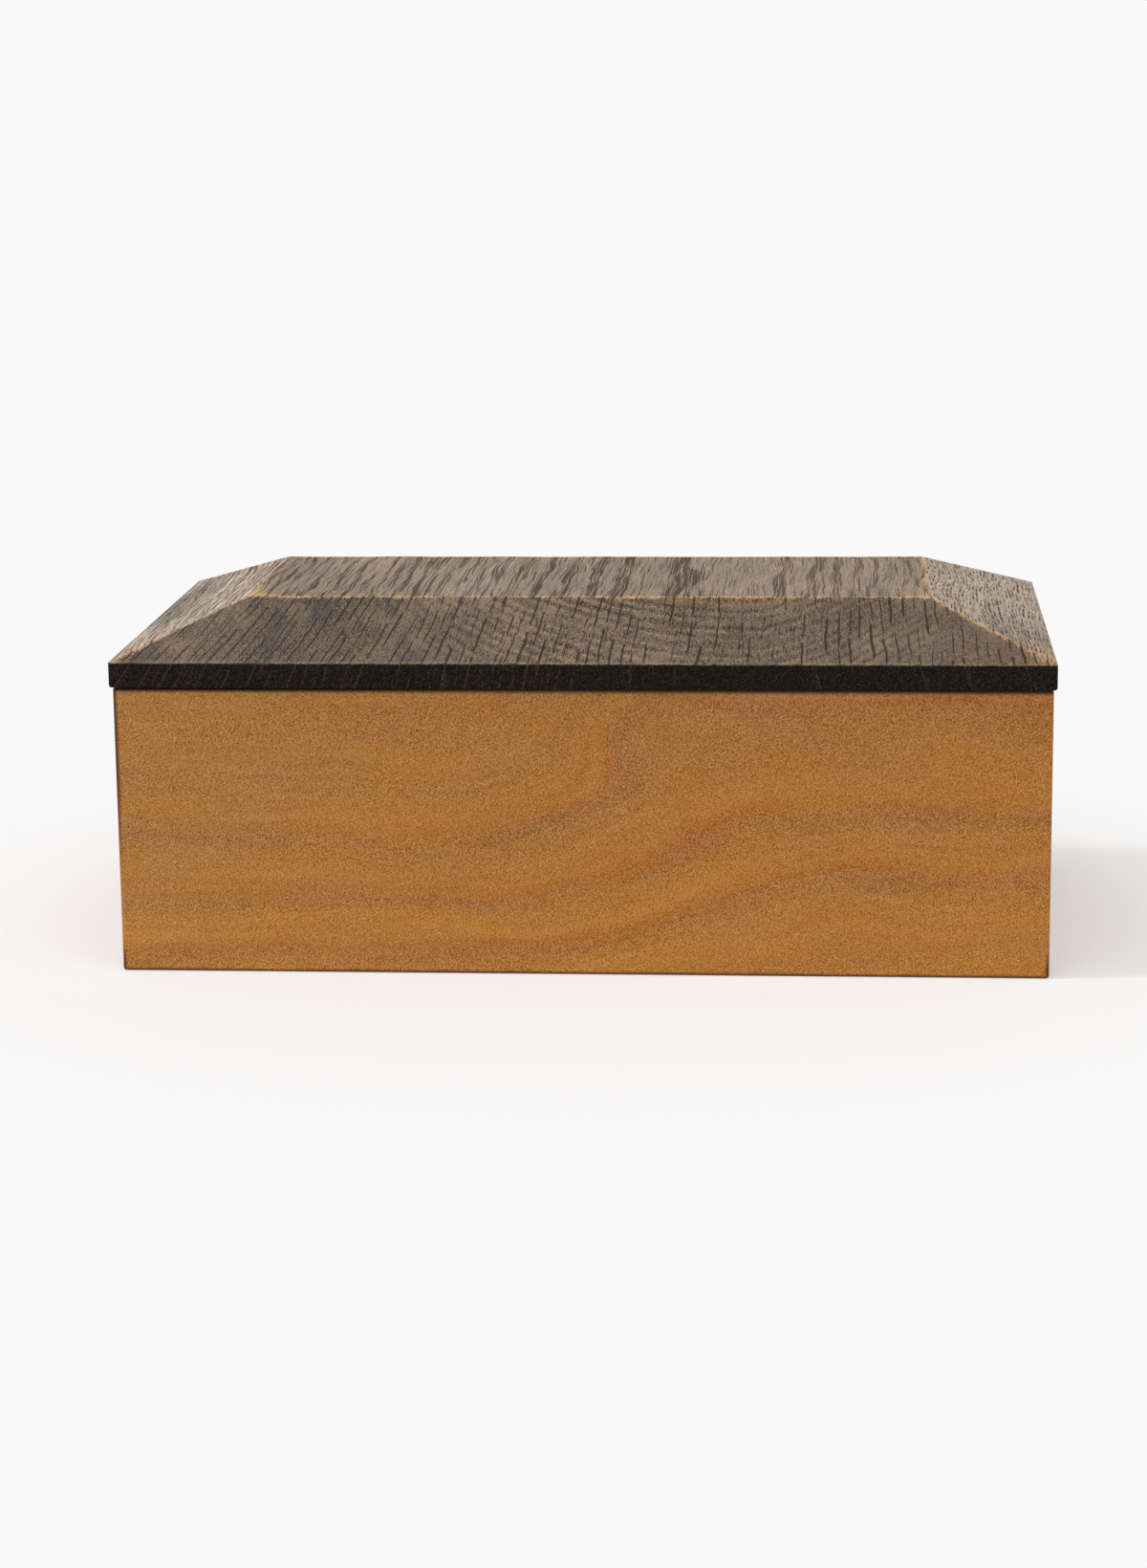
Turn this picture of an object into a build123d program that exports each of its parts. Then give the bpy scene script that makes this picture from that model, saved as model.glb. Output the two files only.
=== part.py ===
from build123d import *
import os

# Wooden keepsake box: four mitred walls round a floor panel, and a solid hipped lid that lifts off.
# Millimetres, +Z up, origin on the table under the middle of the box, front towards -Y.
# The lid's grain runs front to back, so two battens cross it underneath. They keep the lid flat
# and drop inside the walls to locate it.

# Walls: outside size of the box
BODY_WIDTH = 230.0
BODY_DEPTH = 125.0
BODY_HEIGHT = 72.0
WALL = 10.0
OUTER_ROUND = 0.8
INNER_EASE = 0.4

# Floor panel: a tongue round its edge lies in a groove in the walls
FLOOR_LIFT = 4.0
FLOOR_TONGUE = 3.0
FLOOR_FIELD = 3.0
GROOVE_DEPTH = 4.0
PANEL_PLAY = 0.3
GROOVE_CLEARANCE = 0.1

# Loose tongues across the mitres, stopped short of the top edge
TONGUE_THICK = 3.0
TONGUE_SHARE = 1 / 3  # place along the mitre, from the inside corner
TONGUE_COVER = 2.4  # wood left between the tongue and the outside face
TONGUE_TOP_STOP = 8.0
TONGUE_ABOVE_GROOVE = 4.0
TONGUE_PLAY = 0.1

# Lid board: a flat field, four bevels and a square rim
LID_THICK = 18.0
LID_RIM = 6.4
LID_BEVEL = 30.4
LID_OVERHANG = 0.8
LID_ROUND = 0.7
LID_ARRIS_ROUND = 0.3

# Battens under the lid
BATTEN_WIDTH = 12.0
BATTEN_DROP = 8.0
BATTEN_FIT = 0.5
BATTEN_EASE = 1.0

# Round-headed screws up through the battens into the lid
SCREW_FROM_END = 20.0
SCREW_SHANK = 2.8
SCREW_BITE = 6.6
SCREW_POINT = 3.0
SCREW_HEAD = 5.4
SCREW_HEAD_HEIGHT = 1.9
SCREW_HEAD_SUNK = 0.7
SCREW_CLEARANCE = 0.2
DRIVER_SLOT_WIDTH = 0.8
DRIVER_SLOT_DEPTH = 0.9
PILOT_CLEARANCE = 0.05
PILOT_BEYOND_POINT = 0.5
LID_MOVEMENT = 1.5  # seasonal movement that the outer screw slots allow, each way

# Inside of the walls
INSIDE_WIDTH = BODY_WIDTH - 2 * WALL
INSIDE_DEPTH = BODY_DEPTH - 2 * WALL
GROOVE_TOP = FLOOR_LIFT + FLOOR_TONGUE + GROOVE_CLEARANCE

# Tongues
ROOT_2 = 2**0.5
TONGUE_FROM_INSIDE = TONGUE_SHARE * WALL * ROOT_2
TONGUE_WIDTH = 2 * (ROOT_2 * (WALL - TONGUE_COVER) - TONGUE_FROM_INSIDE - TONGUE_THICK / 2)
TONGUE_BOTTOM = GROOVE_TOP + TONGUE_ABOVE_GROOVE
TONGUE_HEIGHT = BODY_HEIGHT - TONGUE_TOP_STOP - TONGUE_BOTTOM

# Lid plan and levels
LID_WIDTH = BODY_WIDTH + 2 * LID_OVERHANG
LID_DEPTH = BODY_DEPTH + 2 * LID_OVERHANG
LID_BOTTOM = BODY_HEIGHT
RIM_TOP = LID_BOTTOM + LID_RIM
LID_TOP = LID_BOTTOM + LID_THICK

# Battens and screws
BATTEN_LENGTH = INSIDE_WIDTH - 2 * BATTEN_FIT
BATTEN_BOTTOM = LID_BOTTOM - BATTEN_DROP
BATTEN_CENTRE = INSIDE_DEPTH / 2 - BATTEN_FIT - BATTEN_WIDTH / 2
SCREW_SEAT = BATTEN_BOTTOM + SCREW_HEAD_HEIGHT + SCREW_HEAD_SUNK
SCREW_TIP = LID_BOTTOM + SCREW_BITE
SCREW_COLUMN = BATTEN_LENGTH / 2 - SCREW_FROM_END

SIDES = {"left": -1, "right": 1}
ENDS = {"front": -1, "back": 1}
COLUMNS = {"left": -SCREW_COLUMN, "middle": 0, "right": SCREW_COLUMN}
FROM_BELOW = (Align.CENTER, Align.CENTER, Align.MIN)


def block(width, depth, low, high):
    """A plain block on the centre line, between two levels."""
    return Pos(0, 0, low) * Box(width, depth, high - low, align=FROM_BELOW)


def mouth(inner_level, outer_level):
    """The ease at one mouth of the inside, from the inside's size to one ease wider all round."""
    inner = Pos(0, 0, inner_level) * Rectangle(INSIDE_WIDTH, INSIDE_DEPTH)
    outer = Pos(0, 0, outer_level) * Rectangle(INSIDE_WIDTH + 2 * INNER_EASE, INSIDE_DEPTH + 2 * INNER_EASE)
    return loft([inner, outer])


def wall_ring():
    """The four walls in one before the mitres are cut: rounded outside, eased and grooved inside."""
    ring = fillet(block(BODY_WIDTH, BODY_DEPTH, 0, BODY_HEIGHT).edges(), OUTER_ROUND)
    ring -= block(INSIDE_WIDTH, INSIDE_DEPTH, 0, BODY_HEIGHT)
    ring -= mouth(BODY_HEIGHT - INNER_EASE, BODY_HEIGHT)
    ring -= mouth(INNER_EASE, 0)
    reach = 2 * GROOVE_DEPTH
    return ring - block(INSIDE_WIDTH + reach, INSIDE_DEPTH + reach, FLOOR_LIFT, GROOVE_TOP)


def mitre_wedge(length, depth):
    """A prism over the wall at -Y of a plan of that length and depth, cut at 45 degrees at both ends."""
    reach = 2 * WALL
    outer, inner = length / 2 + reach, length / 2 - reach
    near, far = -depth / 2 - reach, -depth / 2 + reach
    plan = Polygon((-outer, near), (outer, near), (inner, far), (-inner, far), align=None)
    return extrude(plan, BODY_HEIGHT)


def tongue(side, end, play):
    """The loose tongue of one corner, or its slot when play is added all round."""
    out = TONGUE_FROM_INSIDE / ROOT_2
    spot = Pos(side * (INSIDE_WIDTH / 2 + out), end * (INSIDE_DEPTH / 2 + out), TONGUE_BOTTOM - play)
    size = (TONGUE_WIDTH + 2 * play, TONGUE_THICK + 2 * play, TONGUE_HEIGHT + 2 * play)
    return spot * Rot(0, 0, -45 * side * end) * Box(*size, align=FROM_BELOW)


def walls():
    """Front, back, left and right walls, mitred and slotted for the tongues."""
    ring = wall_ring()
    for side in SIDES.values():
        for end in ENDS.values():
            ring -= tongue(side, end, TONGUE_PLAY)
    along = mitre_wedge(BODY_WIDTH, BODY_DEPTH)
    across = mitre_wedge(BODY_DEPTH, BODY_WIDTH)
    return {
        "front_wall": ring & along,
        "back_wall": ring & (Rot(0, 0, 180) * along),
        "left_wall": ring & (Rot(0, 0, -90) * across),
        "right_wall": ring & (Rot(0, 0, 90) * across),
    }


def floor_panel():
    """The floor: an edge tongue in the groove, and a field that stands up between the walls."""
    reach = 2 * (GROOVE_DEPTH - PANEL_PLAY)
    step = FLOOR_LIFT + FLOOR_TONGUE
    edge = block(INSIDE_WIDTH + reach, INSIDE_DEPTH + reach, FLOOR_LIFT, step)
    room = 2 * PANEL_PLAY
    return edge + block(INSIDE_WIDTH - room, INSIDE_DEPTH - room, step, step + FLOOR_FIELD)


def hole(diameter, travel, low, high):
    """A round hole, or a slot with that travel each way along X, between two levels."""
    plan = SlotCenterToCenter(2 * travel, diameter) if travel else Circle(diameter / 2)
    return Pos(0, 0, low) * extrude(plan, high - low)


def lid_board():
    """The solid hipped lid, with the pilot holes for its screws."""
    slab = block(LID_WIDTH, LID_DEPTH, LID_BOTTOM, LID_TOP)
    slab = fillet(slab.edges().filter_by(Axis.Z) + slab.faces().sort_by(Axis.Z)[0].edges(), LID_ROUND)
    rim_outline = Pos(0, 0, RIM_TOP) * Rectangle(LID_WIDTH, LID_DEPTH)
    field_outline = Pos(0, 0, LID_TOP) * Rectangle(LID_WIDTH - 2 * LID_BEVEL, LID_DEPTH - 2 * LID_BEVEL)
    hips = loft([rim_outline, field_outline])
    arrises = [edge for level in hips.edges().group_by(Axis.Z)[1:] for edge in level]
    hips = fillet(arrises, LID_ARRIS_ROUND)
    board = slab & (block(LID_WIDTH, LID_DEPTH, LID_BOTTOM, RIM_TOP) + hips)
    pilot = hole(SCREW_SHANK + 2 * PILOT_CLEARANCE, 0, LID_BOTTOM, SCREW_TIP + PILOT_BEYOND_POINT)
    for end in ENDS.values():
        for x in COLUMNS.values():
            board -= Pos(x, end * BATTEN_CENTRE, 0) * pilot
    return board


def lid_batten(end):
    """One batten, eased below, with sunk holes for its screws: round in the middle, slots outside."""
    batten = block(BATTEN_LENGTH, BATTEN_WIDTH, BATTEN_BOTTOM, LID_BOTTOM)
    batten = chamfer(batten.faces().sort_by(Axis.Z)[0].edges(), BATTEN_EASE)
    for column, x in COLUMNS.items():
        travel = 0 if column == "middle" else LID_MOVEMENT
        batten -= Pos(x, 0, 0) * hole(SCREW_SHANK + 2 * SCREW_CLEARANCE, travel, SCREW_SEAT, LID_BOTTOM)
        batten -= Pos(x, 0, 0) * hole(SCREW_HEAD + 2 * SCREW_CLEARANCE, travel, BATTEN_BOTTOM, SCREW_SEAT)
    return Pos(0, end * BATTEN_CENTRE, 0) * batten


def screw(end, x):
    """One slotted round-headed wood screw, head down on its seat in the batten."""
    radius = SCREW_HEAD / 2
    dome = (radius**2 + SCREW_HEAD_HEIGHT**2) / (2 * SCREW_HEAD_HEIGHT)
    crown = SCREW_SEAT - SCREW_HEAD_HEIGHT
    head = Pos(0, 0, crown + dome) * Sphere(dome)
    head &= block(2 * SCREW_HEAD, 2 * SCREW_HEAD, crown, SCREW_SEAT)
    head -= block(SCREW_HEAD, DRIVER_SLOT_WIDTH, crown, crown + DRIVER_SLOT_DEPTH)
    straight = SCREW_TIP - SCREW_POINT - SCREW_SEAT
    shank = Pos(0, 0, SCREW_SEAT) * Cylinder(SCREW_SHANK / 2, straight, align=FROM_BELOW)
    point = Pos(0, 0, SCREW_SEAT + straight) * Cone(SCREW_SHANK / 2, 0, SCREW_POINT, align=FROM_BELOW)
    return Pos(x, end * BATTEN_CENTRE, 0) * (head + shank + point)


def box_parts():
    """Every piece by its name."""
    parts = walls()
    parts["floor_panel"] = floor_panel()
    parts["lid_board"] = lid_board()
    for end_name, end in ENDS.items():
        for side_name, side in SIDES.items():
            parts[f"corner_tongue_{end_name}_{side_name}"] = tongue(side, end, 0)
        parts[f"lid_batten_{end_name}"] = lid_batten(end)
        for column, x in COLUMNS.items():
            parts[f"batten_screw_{end_name}_{column}"] = screw(end, x)
    return parts


os.makedirs("parts", exist_ok=True)
for name, part in box_parts().items():
    export_step(part, f"parts/{name}.step")
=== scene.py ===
"""A wooden keepsake box: fruitwood sides with mitred corners, and a dark oak lid that lifts off.

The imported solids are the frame. Walls, floor, battens and tongues keep their solids and get their
wood here. The lid board is run afresh with worn arrises, and the screws get threads and cut slots.
Meshes are in metres. Finishes are written in millimetres, as a joiner would.
"""

import logging
import math
from dataclasses import dataclass
from enum import Enum

import bmesh
import bpy
from mathutils import Matrix, Vector


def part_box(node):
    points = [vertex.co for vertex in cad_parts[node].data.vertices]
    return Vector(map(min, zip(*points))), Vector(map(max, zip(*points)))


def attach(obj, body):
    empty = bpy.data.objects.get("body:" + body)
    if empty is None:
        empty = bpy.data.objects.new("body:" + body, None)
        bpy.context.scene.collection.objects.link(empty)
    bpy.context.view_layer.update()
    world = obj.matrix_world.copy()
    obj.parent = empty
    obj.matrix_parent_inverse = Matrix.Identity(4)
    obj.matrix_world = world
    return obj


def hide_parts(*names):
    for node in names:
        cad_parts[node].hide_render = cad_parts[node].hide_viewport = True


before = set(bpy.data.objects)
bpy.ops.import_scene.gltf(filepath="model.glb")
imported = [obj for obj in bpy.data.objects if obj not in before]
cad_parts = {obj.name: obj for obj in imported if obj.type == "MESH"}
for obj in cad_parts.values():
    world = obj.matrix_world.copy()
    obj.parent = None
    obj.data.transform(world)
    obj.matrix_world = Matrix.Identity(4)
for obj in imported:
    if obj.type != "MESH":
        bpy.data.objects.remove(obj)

LOG = logging.getLogger("keepsake_box")
MM = 0.001
BATTENS = 2
SCREWS_PER_BATTEN = 3
DARKEST = (0.002, 0.002, 0.002)
ROOT_2 = math.sqrt(2)
QUARTER_TURN = math.pi / 2

Colour = tuple[float, float, float, float]
Triple = tuple[float, float, float]
Span = tuple[float, float]
Node = bpy.types.Node
Socket = bpy.types.NodeSocket
Material = bpy.types.Material


def srgb(red: float, green: float, blue: float) -> Colour:
    """Turns a colour as it is seen on a screen into the linear colour that shaders use.

    Args:
        red: Red, 0 to 255.
        green: Green, 0 to 255.
        blue: Blue, 0 to 255.

    Returns:
        Linear red, green and blue, with alpha 1.
    """

    def linear(value: float) -> float:
        """One channel, from 0 to 255 to linear."""
        share = value / 255
        return share / 12.92 if share <= 0.04045 else ((share + 0.055) / 1.055) ** 2.4

    return linear(red), linear(green), linear(blue), 1.0


class Field:
    """A number that varies over a surface. Each operator on it adds one Math node."""

    def __init__(self, graph: "Graph", socket: Socket) -> None:
        """Keeps the output socket and the graph that it belongs to."""
        self.graph = graph
        self.socket = socket

    def __add__(self, other: "Operand") -> "Field":
        """Sum."""
        return self.graph.math("ADD", self, other)

    def __radd__(self, other: float) -> "Field":
        """Sum with a plain number on the left."""
        return self.graph.math("ADD", other, self)

    def __sub__(self, other: "Operand") -> "Field":
        """Difference."""
        return self.graph.math("SUBTRACT", self, other)

    def __rsub__(self, other: float) -> "Field":
        """Difference from a plain number."""
        return self.graph.math("SUBTRACT", other, self)

    def __mul__(self, other: "Operand") -> "Field":
        """Product."""
        return self.graph.math("MULTIPLY", self, other)

    def __rmul__(self, other: float) -> "Field":
        """Product with a plain number on the left."""
        return self.graph.math("MULTIPLY", other, self)

    def __truediv__(self, other: "Operand") -> "Field":
        """Quotient."""
        return self.graph.math("DIVIDE", self, other)

    def __abs__(self) -> "Field":
        """Size without its sign."""
        return self.graph.math("ABSOLUTE", self)

    def larger(self, other: "Operand") -> "Field":
        """The larger of the two."""
        return self.graph.math("MAXIMUM", self, other)

    def smaller(self, other: "Operand") -> "Field":
        """The smaller of the two."""
        return self.graph.math("MINIMUM", self, other)

    def fraction(self) -> "Field":
        """What is left after the whole number below."""
        return self.graph.math("FRACT", self)

    def whole(self) -> "Field":
        """The whole number below."""
        return self.graph.math("FLOOR", self)

    def rise(self, low: "Operand", high: "Operand") -> "Field":
        """A smooth step from 0 at low to 1 at high.

        Args:
            low: Value at which the step starts.
            high: Value at which the step is complete.

        Returns:
            The step, between 0 and 1.
        """
        values = {"Value": self, "From Min": low, "From Max": high}
        step = self.graph.first("ShaderNodeMapRange", values, interpolation_type="SMOOTHSTEP")
        return Field(self.graph, step)


Operand = Field | float
Values = dict[str | int, object]


class Graph:
    """Adds and links the nodes of one tree, so that a formula in it reads as a formula."""

    def __init__(self, tree: bpy.types.NodeTree) -> None:
        """Keeps the tree that the nodes go to."""
        self.tree = tree

    def add(self, kind: str, values: Values | None = None, **settings: object) -> Node:
        """Adds one node.

        Args:
            kind: Blender's type name of the node.
            values: What goes into each input, by name or number: a Field, a socket or a plain value.
            settings: Properties of the node.

        Returns:
            The node.
        """
        node = self.tree.nodes.new(kind)
        for name, setting in settings.items():
            setattr(node, name, setting)
        self.fill(node, values or {})
        return node

    def first(self, kind: str, values: Values | None = None, **settings: object) -> Socket:
        """Adds one node and gives its first output."""
        return self.add(kind, values, **settings).outputs[0]

    def fill(self, node: Node, values: Values) -> None:
        """Puts a value into each input that is named or numbered."""
        for key, value in values.items():
            self.put(node.inputs[key], value)

    def put(self, target: Socket, value: object) -> None:
        """Links a Field or socket to an input, or writes a plain value there."""
        source = value.socket if isinstance(value, Field) else value
        if isinstance(source, Socket):
            self.tree.links.new(source, target)
        else:
            target.default_value = source

    def read(self, node: Node) -> dict[str, Field]:
        """What a node puts out, by name."""
        return {output.name: Field(self, output) for output in node.outputs}

    def group(self, name: str, **values: object) -> dict[str, Field]:
        """Places a shared group.

        Args:
            name: The group's name.
            values: What goes into each of its inputs.

        Returns:
            What the group puts out, by name.
        """
        named = {key.capitalize(): value for key, value in values.items()}
        return self.read(self.add("ShaderNodeGroup", named, node_tree=bpy.data.node_groups[name]))

    def math(self, operation: str, *values: Operand) -> Field:
        """One Math node on up to three numbers."""
        return Field(self, self.first("ShaderNodeMath", dict(enumerate(values)), operation=operation))

    def vector(self, x: Operand, y: Operand, z: Operand) -> Socket:
        """Joins three numbers into a vector."""
        return self.first("ShaderNodeCombineXYZ", {0: x, 1: y, 2: z})

    def split(self, vector: Socket) -> tuple[Field, Field, Field]:
        """Splits a vector into its three numbers."""
        node = self.add("ShaderNodeSeparateXYZ", {0: vector})
        x, y, z = (Field(self, output) for output in node.outputs)
        return x, y, z

    def noise(self, vector: Socket, scale: float, detail: float) -> Field:
        """Soft noise about 0.5.

        Args:
            vector: Where it is read.
            scale: Features per unit of length.
            detail: Octaves of finer noise.

        Returns:
            The noise.
        """
        values = {"Vector": vector, "Scale": scale, "Detail": detail}
        return Field(self, self.first("ShaderNodeTexNoise", values))

    def chance(self, x: Operand, y: Operand, z: Operand) -> Field:
        """A number between 0 and 1 by chance, the same wherever the three numbers are the same."""
        drawn = self.add("ShaderNodeTexWhiteNoise", {"Vector": self.vector(x, y, z)})
        return Field(self, drawn.outputs["Value"])

    def blend(self, share: Operand, first: object, second: object) -> Socket:
        """Mixes two colours.

        Args:
            share: 0 for the first, 1 for the second.
            first: A colour or a colour socket.
            second: A colour or a colour socket.

        Returns:
            The mixed colour.
        """
        return self.add("ShaderNodeMix", {0: share, 6: first, 7: second}, data_type="RGBA").outputs[2]

    def ramp(self, share: Field, *stops: tuple[float, Colour]) -> Socket:
        """Runs through a row of colours.

        Args:
            share: Place along the row, 0 to 1.
            stops: Place and colour of each stop, in order.

        Returns:
            The colour.
        """
        node = self.add("ShaderNodeValToRGB", {0: share})
        row = node.color_ramp.elements
        row[0].position, row[0].color = stops[0]
        row[1].position, row[1].color = stops[-1]
        for place, colour in stops[1:-1]:
            row.new(place).color = colour
        return node.outputs[0]

    def scale(self, vector: object, factor: Field) -> Socket:
        """Multiplies a vector or a colour by a number."""
        return self.first("ShaderNodeVectorMath", {0: vector, "Scale": factor}, operation="SCALE")

    def tinge(self, colour: Socket, tint: Triple, amount: Field) -> Socket:
        """Adds a share of a tint to a colour.

        Args:
            colour: The colour.
            tint: Linear red, green and blue of the tint.
            amount: How much of it is added, or taken away below 0.

        Returns:
            The colour, not below black.
        """
        values = {0: colour, 1: self.scale(tint, amount)}
        added = self.first("ShaderNodeVectorMath", values, operation="ADD")
        return self.first("ShaderNodeVectorMath", {0: added, 1: DARKEST}, operation="MAXIMUM")


class Lie(Enum):
    """How a board lies in the box: the turn that brings its length to X and its figured face to XZ."""

    FRONT_TO_VIEW = (0.0, 0.0, 0.0)
    SIDE_TO_VIEW = (0.0, 0.0, -QUARTER_TURN)
    FLAT = (QUARTER_TURN, 0.0, 0.0)


class GroupMaker:
    """Makes each shared effect once, as a node group with named sockets."""

    @staticmethod
    def start(name: str, inputs: list[str], outputs: list[str]) -> tuple[Graph, dict[str, Field], Node]:
        """Starts a shader group.

        Args:
            name: Name of the group.
            inputs: Names of the inputs. Place is a vector, and the others are numbers.
            outputs: Names of the outputs, which are all numbers.

        Returns:
            The group's graph, its inputs by name and its output node.
        """
        tree = bpy.data.node_groups.new(name, "ShaderNodeTree")
        for socket in inputs:
            kind = "NodeSocketVector" if socket == "Place" else "NodeSocketFloat"
            tree.interface.new_socket(socket, in_out="INPUT", socket_type=kind)
        for socket in outputs:
            tree.interface.new_socket(socket, in_out="OUTPUT", socket_type="NodeSocketFloat")
        graph = Graph(tree)
        return graph, graph.read(graph.add("NodeGroupInput")), graph.add("NodeGroupOutput")

    @staticmethod
    def growth_rings() -> None:
        """Growth rings across a board: Share climbs through each ring, Early is the ring's porous start."""
        inputs = ["Height", "Spacing", "Shift", "Uneven"]
        outputs = ["Share", "Number", "Strength", "Early"]
        graph, given, out = GroupMaker.start("growth_rings", inputs, outputs)
        uneven = given["Uneven"]
        years = given["Height"] / given["Spacing"] + given["Shift"]
        # The second number of each vector only picks a row of the noise
        years = years + (graph.noise(graph.vector(years, 3.7, 0.0), 0.7, 0.0) - 0.5) * uneven
        ring = years.fraction()
        number = years.whole()
        weakness = graph.noise(graph.vector(number, 8.1, 0.0), 1.7, 0.0).rise(0.4, 0.75)
        strength = 1.0 - uneven.smaller(1.0) * weakness
        early = ring.rise(0.0, 0.08) * (1.0 - ring.rise(0.28, 0.62)) * strength
        graph.fill(out, {"Share": ring, "Number": number, "Strength": strength, "Early": early})

    @staticmethod
    def flecks() -> None:
        """Small marks drawn out along the grain: Value is their plain noise, Mask the marks alone."""
        inputs = ["Place", "Length", "Width", "Cover", "Soft"]
        graph, given, out = GroupMaker.start("flecks", inputs, ["Value", "Mask"])
        along, across, up = graph.split(given["Place"].socket)
        width, cover, soft = given["Width"], given["Cover"], given["Soft"]
        scaled = graph.vector(along / given["Length"], across / width, up / width)
        # Turned askew, so that the rows of the noise don't line up with the faces
        turned = {"Vector": scaled, "Rotation": (0.65, 0.5, 0.7)}
        askew = graph.first("ShaderNodeVectorRotate", turned, rotation_type="EULER_XYZ")
        value = graph.noise(askew, 1.0, 1.0)
        graph.fill(out, {"Value": value, "Mask": value.rise(cover - soft, cover + soft)})

    @staticmethod
    def ragged_arris_band() -> None:
        """A ragged band along an arris, for the lid's wear and the walls' darker arrises: Mask is 1 on the
        arris and fades out over Width.
        """
        inputs = ["Distance", "Width", "Place", "Ragged"]
        graph, given, out = GroupMaker.start("ragged_arris_band", inputs, ["Mask"])
        place = given["Place"].socket
        patches = graph.noise(place, 0.07, 2.0) - 0.5
        bites = graph.noise(place, 1.4, 2.0) - 0.5
        reach = given["Width"] * (1.0 + given["Ragged"] * (patches * 6.0 + bites * 6.0))
        reach = reach.larger(0.01)
        graph.fill(out, {"Mask": 1.0 - given["Distance"].rise(reach * 0.2, reach)})


@dataclass(frozen=True)
class Mottle:
    """Soft noise: the size of its patches along X, Y and Z in millimetres, its octaves and its shift."""

    size: Triple
    detail: float = 1.0
    shift: Triple = (0.0, 0.0, 0.0)

    def at(self, graph: Graph, x: Operand, y: Operand, z: Operand, seed: float = 0.0) -> Field:
        """Reads the noise at a place.

        Args:
            graph: Where the nodes go.
            x: Place along X, in millimetres.
            y: Place along Y.
            z: Place along Z.
            seed: Shift that gives each board its own figure.

        Returns:
            The noise, about 0.5.
        """
        fineness = tuple(1 / length for length in self.size)
        shift = (self.shift[0], self.shift[1] + seed, self.shift[2])
        values = {0: graph.vector(x, y, z), 1: fineness, 2: shift}
        place = graph.first("ShaderNodeVectorMath", values, operation="MULTIPLY_ADD")
        return graph.noise(place, 1.0, self.detail)


@dataclass(frozen=True)
class Dash:
    """How a set of broken lines is drawn. Lengths are in millimetres.

    Attributes:
        spacing: Distance between the lines.
        half_width: Half the width of a line.
        length: Length of the stretch that holds one piece of a line.
        least: Share of the stretch that the shortest piece takes up.
        most: Share that the longest piece takes up.
        taper: Share of the stretch over which an end thins out.
        stray: How far a piece strays to the side, as a share of the spacing.
        seed: Draws a set of its own.
    """

    spacing: float
    half_width: float
    length: float
    least: float
    most: float
    taper: float
    stray: float
    seed: float

    def draw(self, graph: Graph, across: Field, along: Field, longer: Operand = 0.0) -> Field:
        """Thin lines some way apart, each broken into pieces that stray a little to the side.

        Args:
            graph: Where the nodes go.
            across: Distance across the lines, in millimetres.
            along: Distance along them.
            longer: Share of the length that is added to each piece.

        Returns:
            1 on a line, 0 beside it.
        """
        spacing, seed = self.spacing, self.seed
        lines = graph.group("growth_rings", height=across, spacing=spacing, shift=seed, uneven=0.6)
        number = lines["Number"]
        place = along / self.length + graph.chance(number, seed, 0.0) * 9.0
        luck = graph.chance(number, place.whole(), seed)
        part = place.fraction()
        reach = luck * (self.most - self.least) + self.least + longer
        drawn = part.rise(0.0, self.taper) * (1.0 - part.rise(reach - self.taper, reach))
        aside = abs(lines["Share"] - 0.5 + (luck - 0.5) * self.stray) * spacing
        half_width = self.half_width * (0.6 + luck * 0.8) * (0.4 + drawn * 0.6)
        return drawn * (1.0 - aside.rise(half_width * 0.5, half_width * 1.7))


@dataclass(frozen=True, kw_only=True)
class Finish:
    """What every finish has: its name, its specular level and the depth of its relief in millimetres."""

    name: str
    shine: float = 0.25
    relief: float = 0.04

    def start(self) -> tuple[Material, Graph, Node]:
        """Starts a material.

        Returns:
            The material, its graph and its Principled shader.
        """
        material = bpy.data.materials.new(self.name)
        material.use_nodes = True
        shader = material.node_tree.nodes["Principled BSDF"]
        shader.inputs["Specular IOR Level"].default_value = self.shine
        return material, Graph(material.node_tree), shader

    @staticmethod
    def millimetres(graph: Graph, turn: Triple = (0, 0, 0), shift: Triple = (0, 0, 0)) -> Socket:
        """The piece's own coordinates in millimetres.

        Args:
            graph: Where the nodes go.
            turn: Turn about X, Y and Z, in radians.
            shift: Shift after the turn, in millimetres.

        Returns:
            The coordinates.
        """
        place = graph.add("ShaderNodeTexCoord").outputs["Object"]
        size = (1 / MM, 1 / MM, 1 / MM)
        values = {"Vector": place, "Scale": size, "Rotation": turn, "Location": shift}
        return graph.first("ShaderNodeMapping", values)

    def feed(self, graph: Graph, shader: Node, colour: Socket, roughness: Field, height: Field) -> None:
        """Feeds the shader.

        Args:
            graph: Where the nodes go.
            shader: The Principled shader.
            colour: Its colour.
            roughness: Its roughness.
            height: Its relief, from 0 to 1 over the finish's own depth.
        """
        values = {"Height": height, "Strength": 1.0, "Distance": self.relief * MM}
        normal = graph.first("ShaderNodeBump", values)
        graph.fill(shader, {"Base Color": colour, "Roughness": roughness, "Normal": normal})


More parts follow.
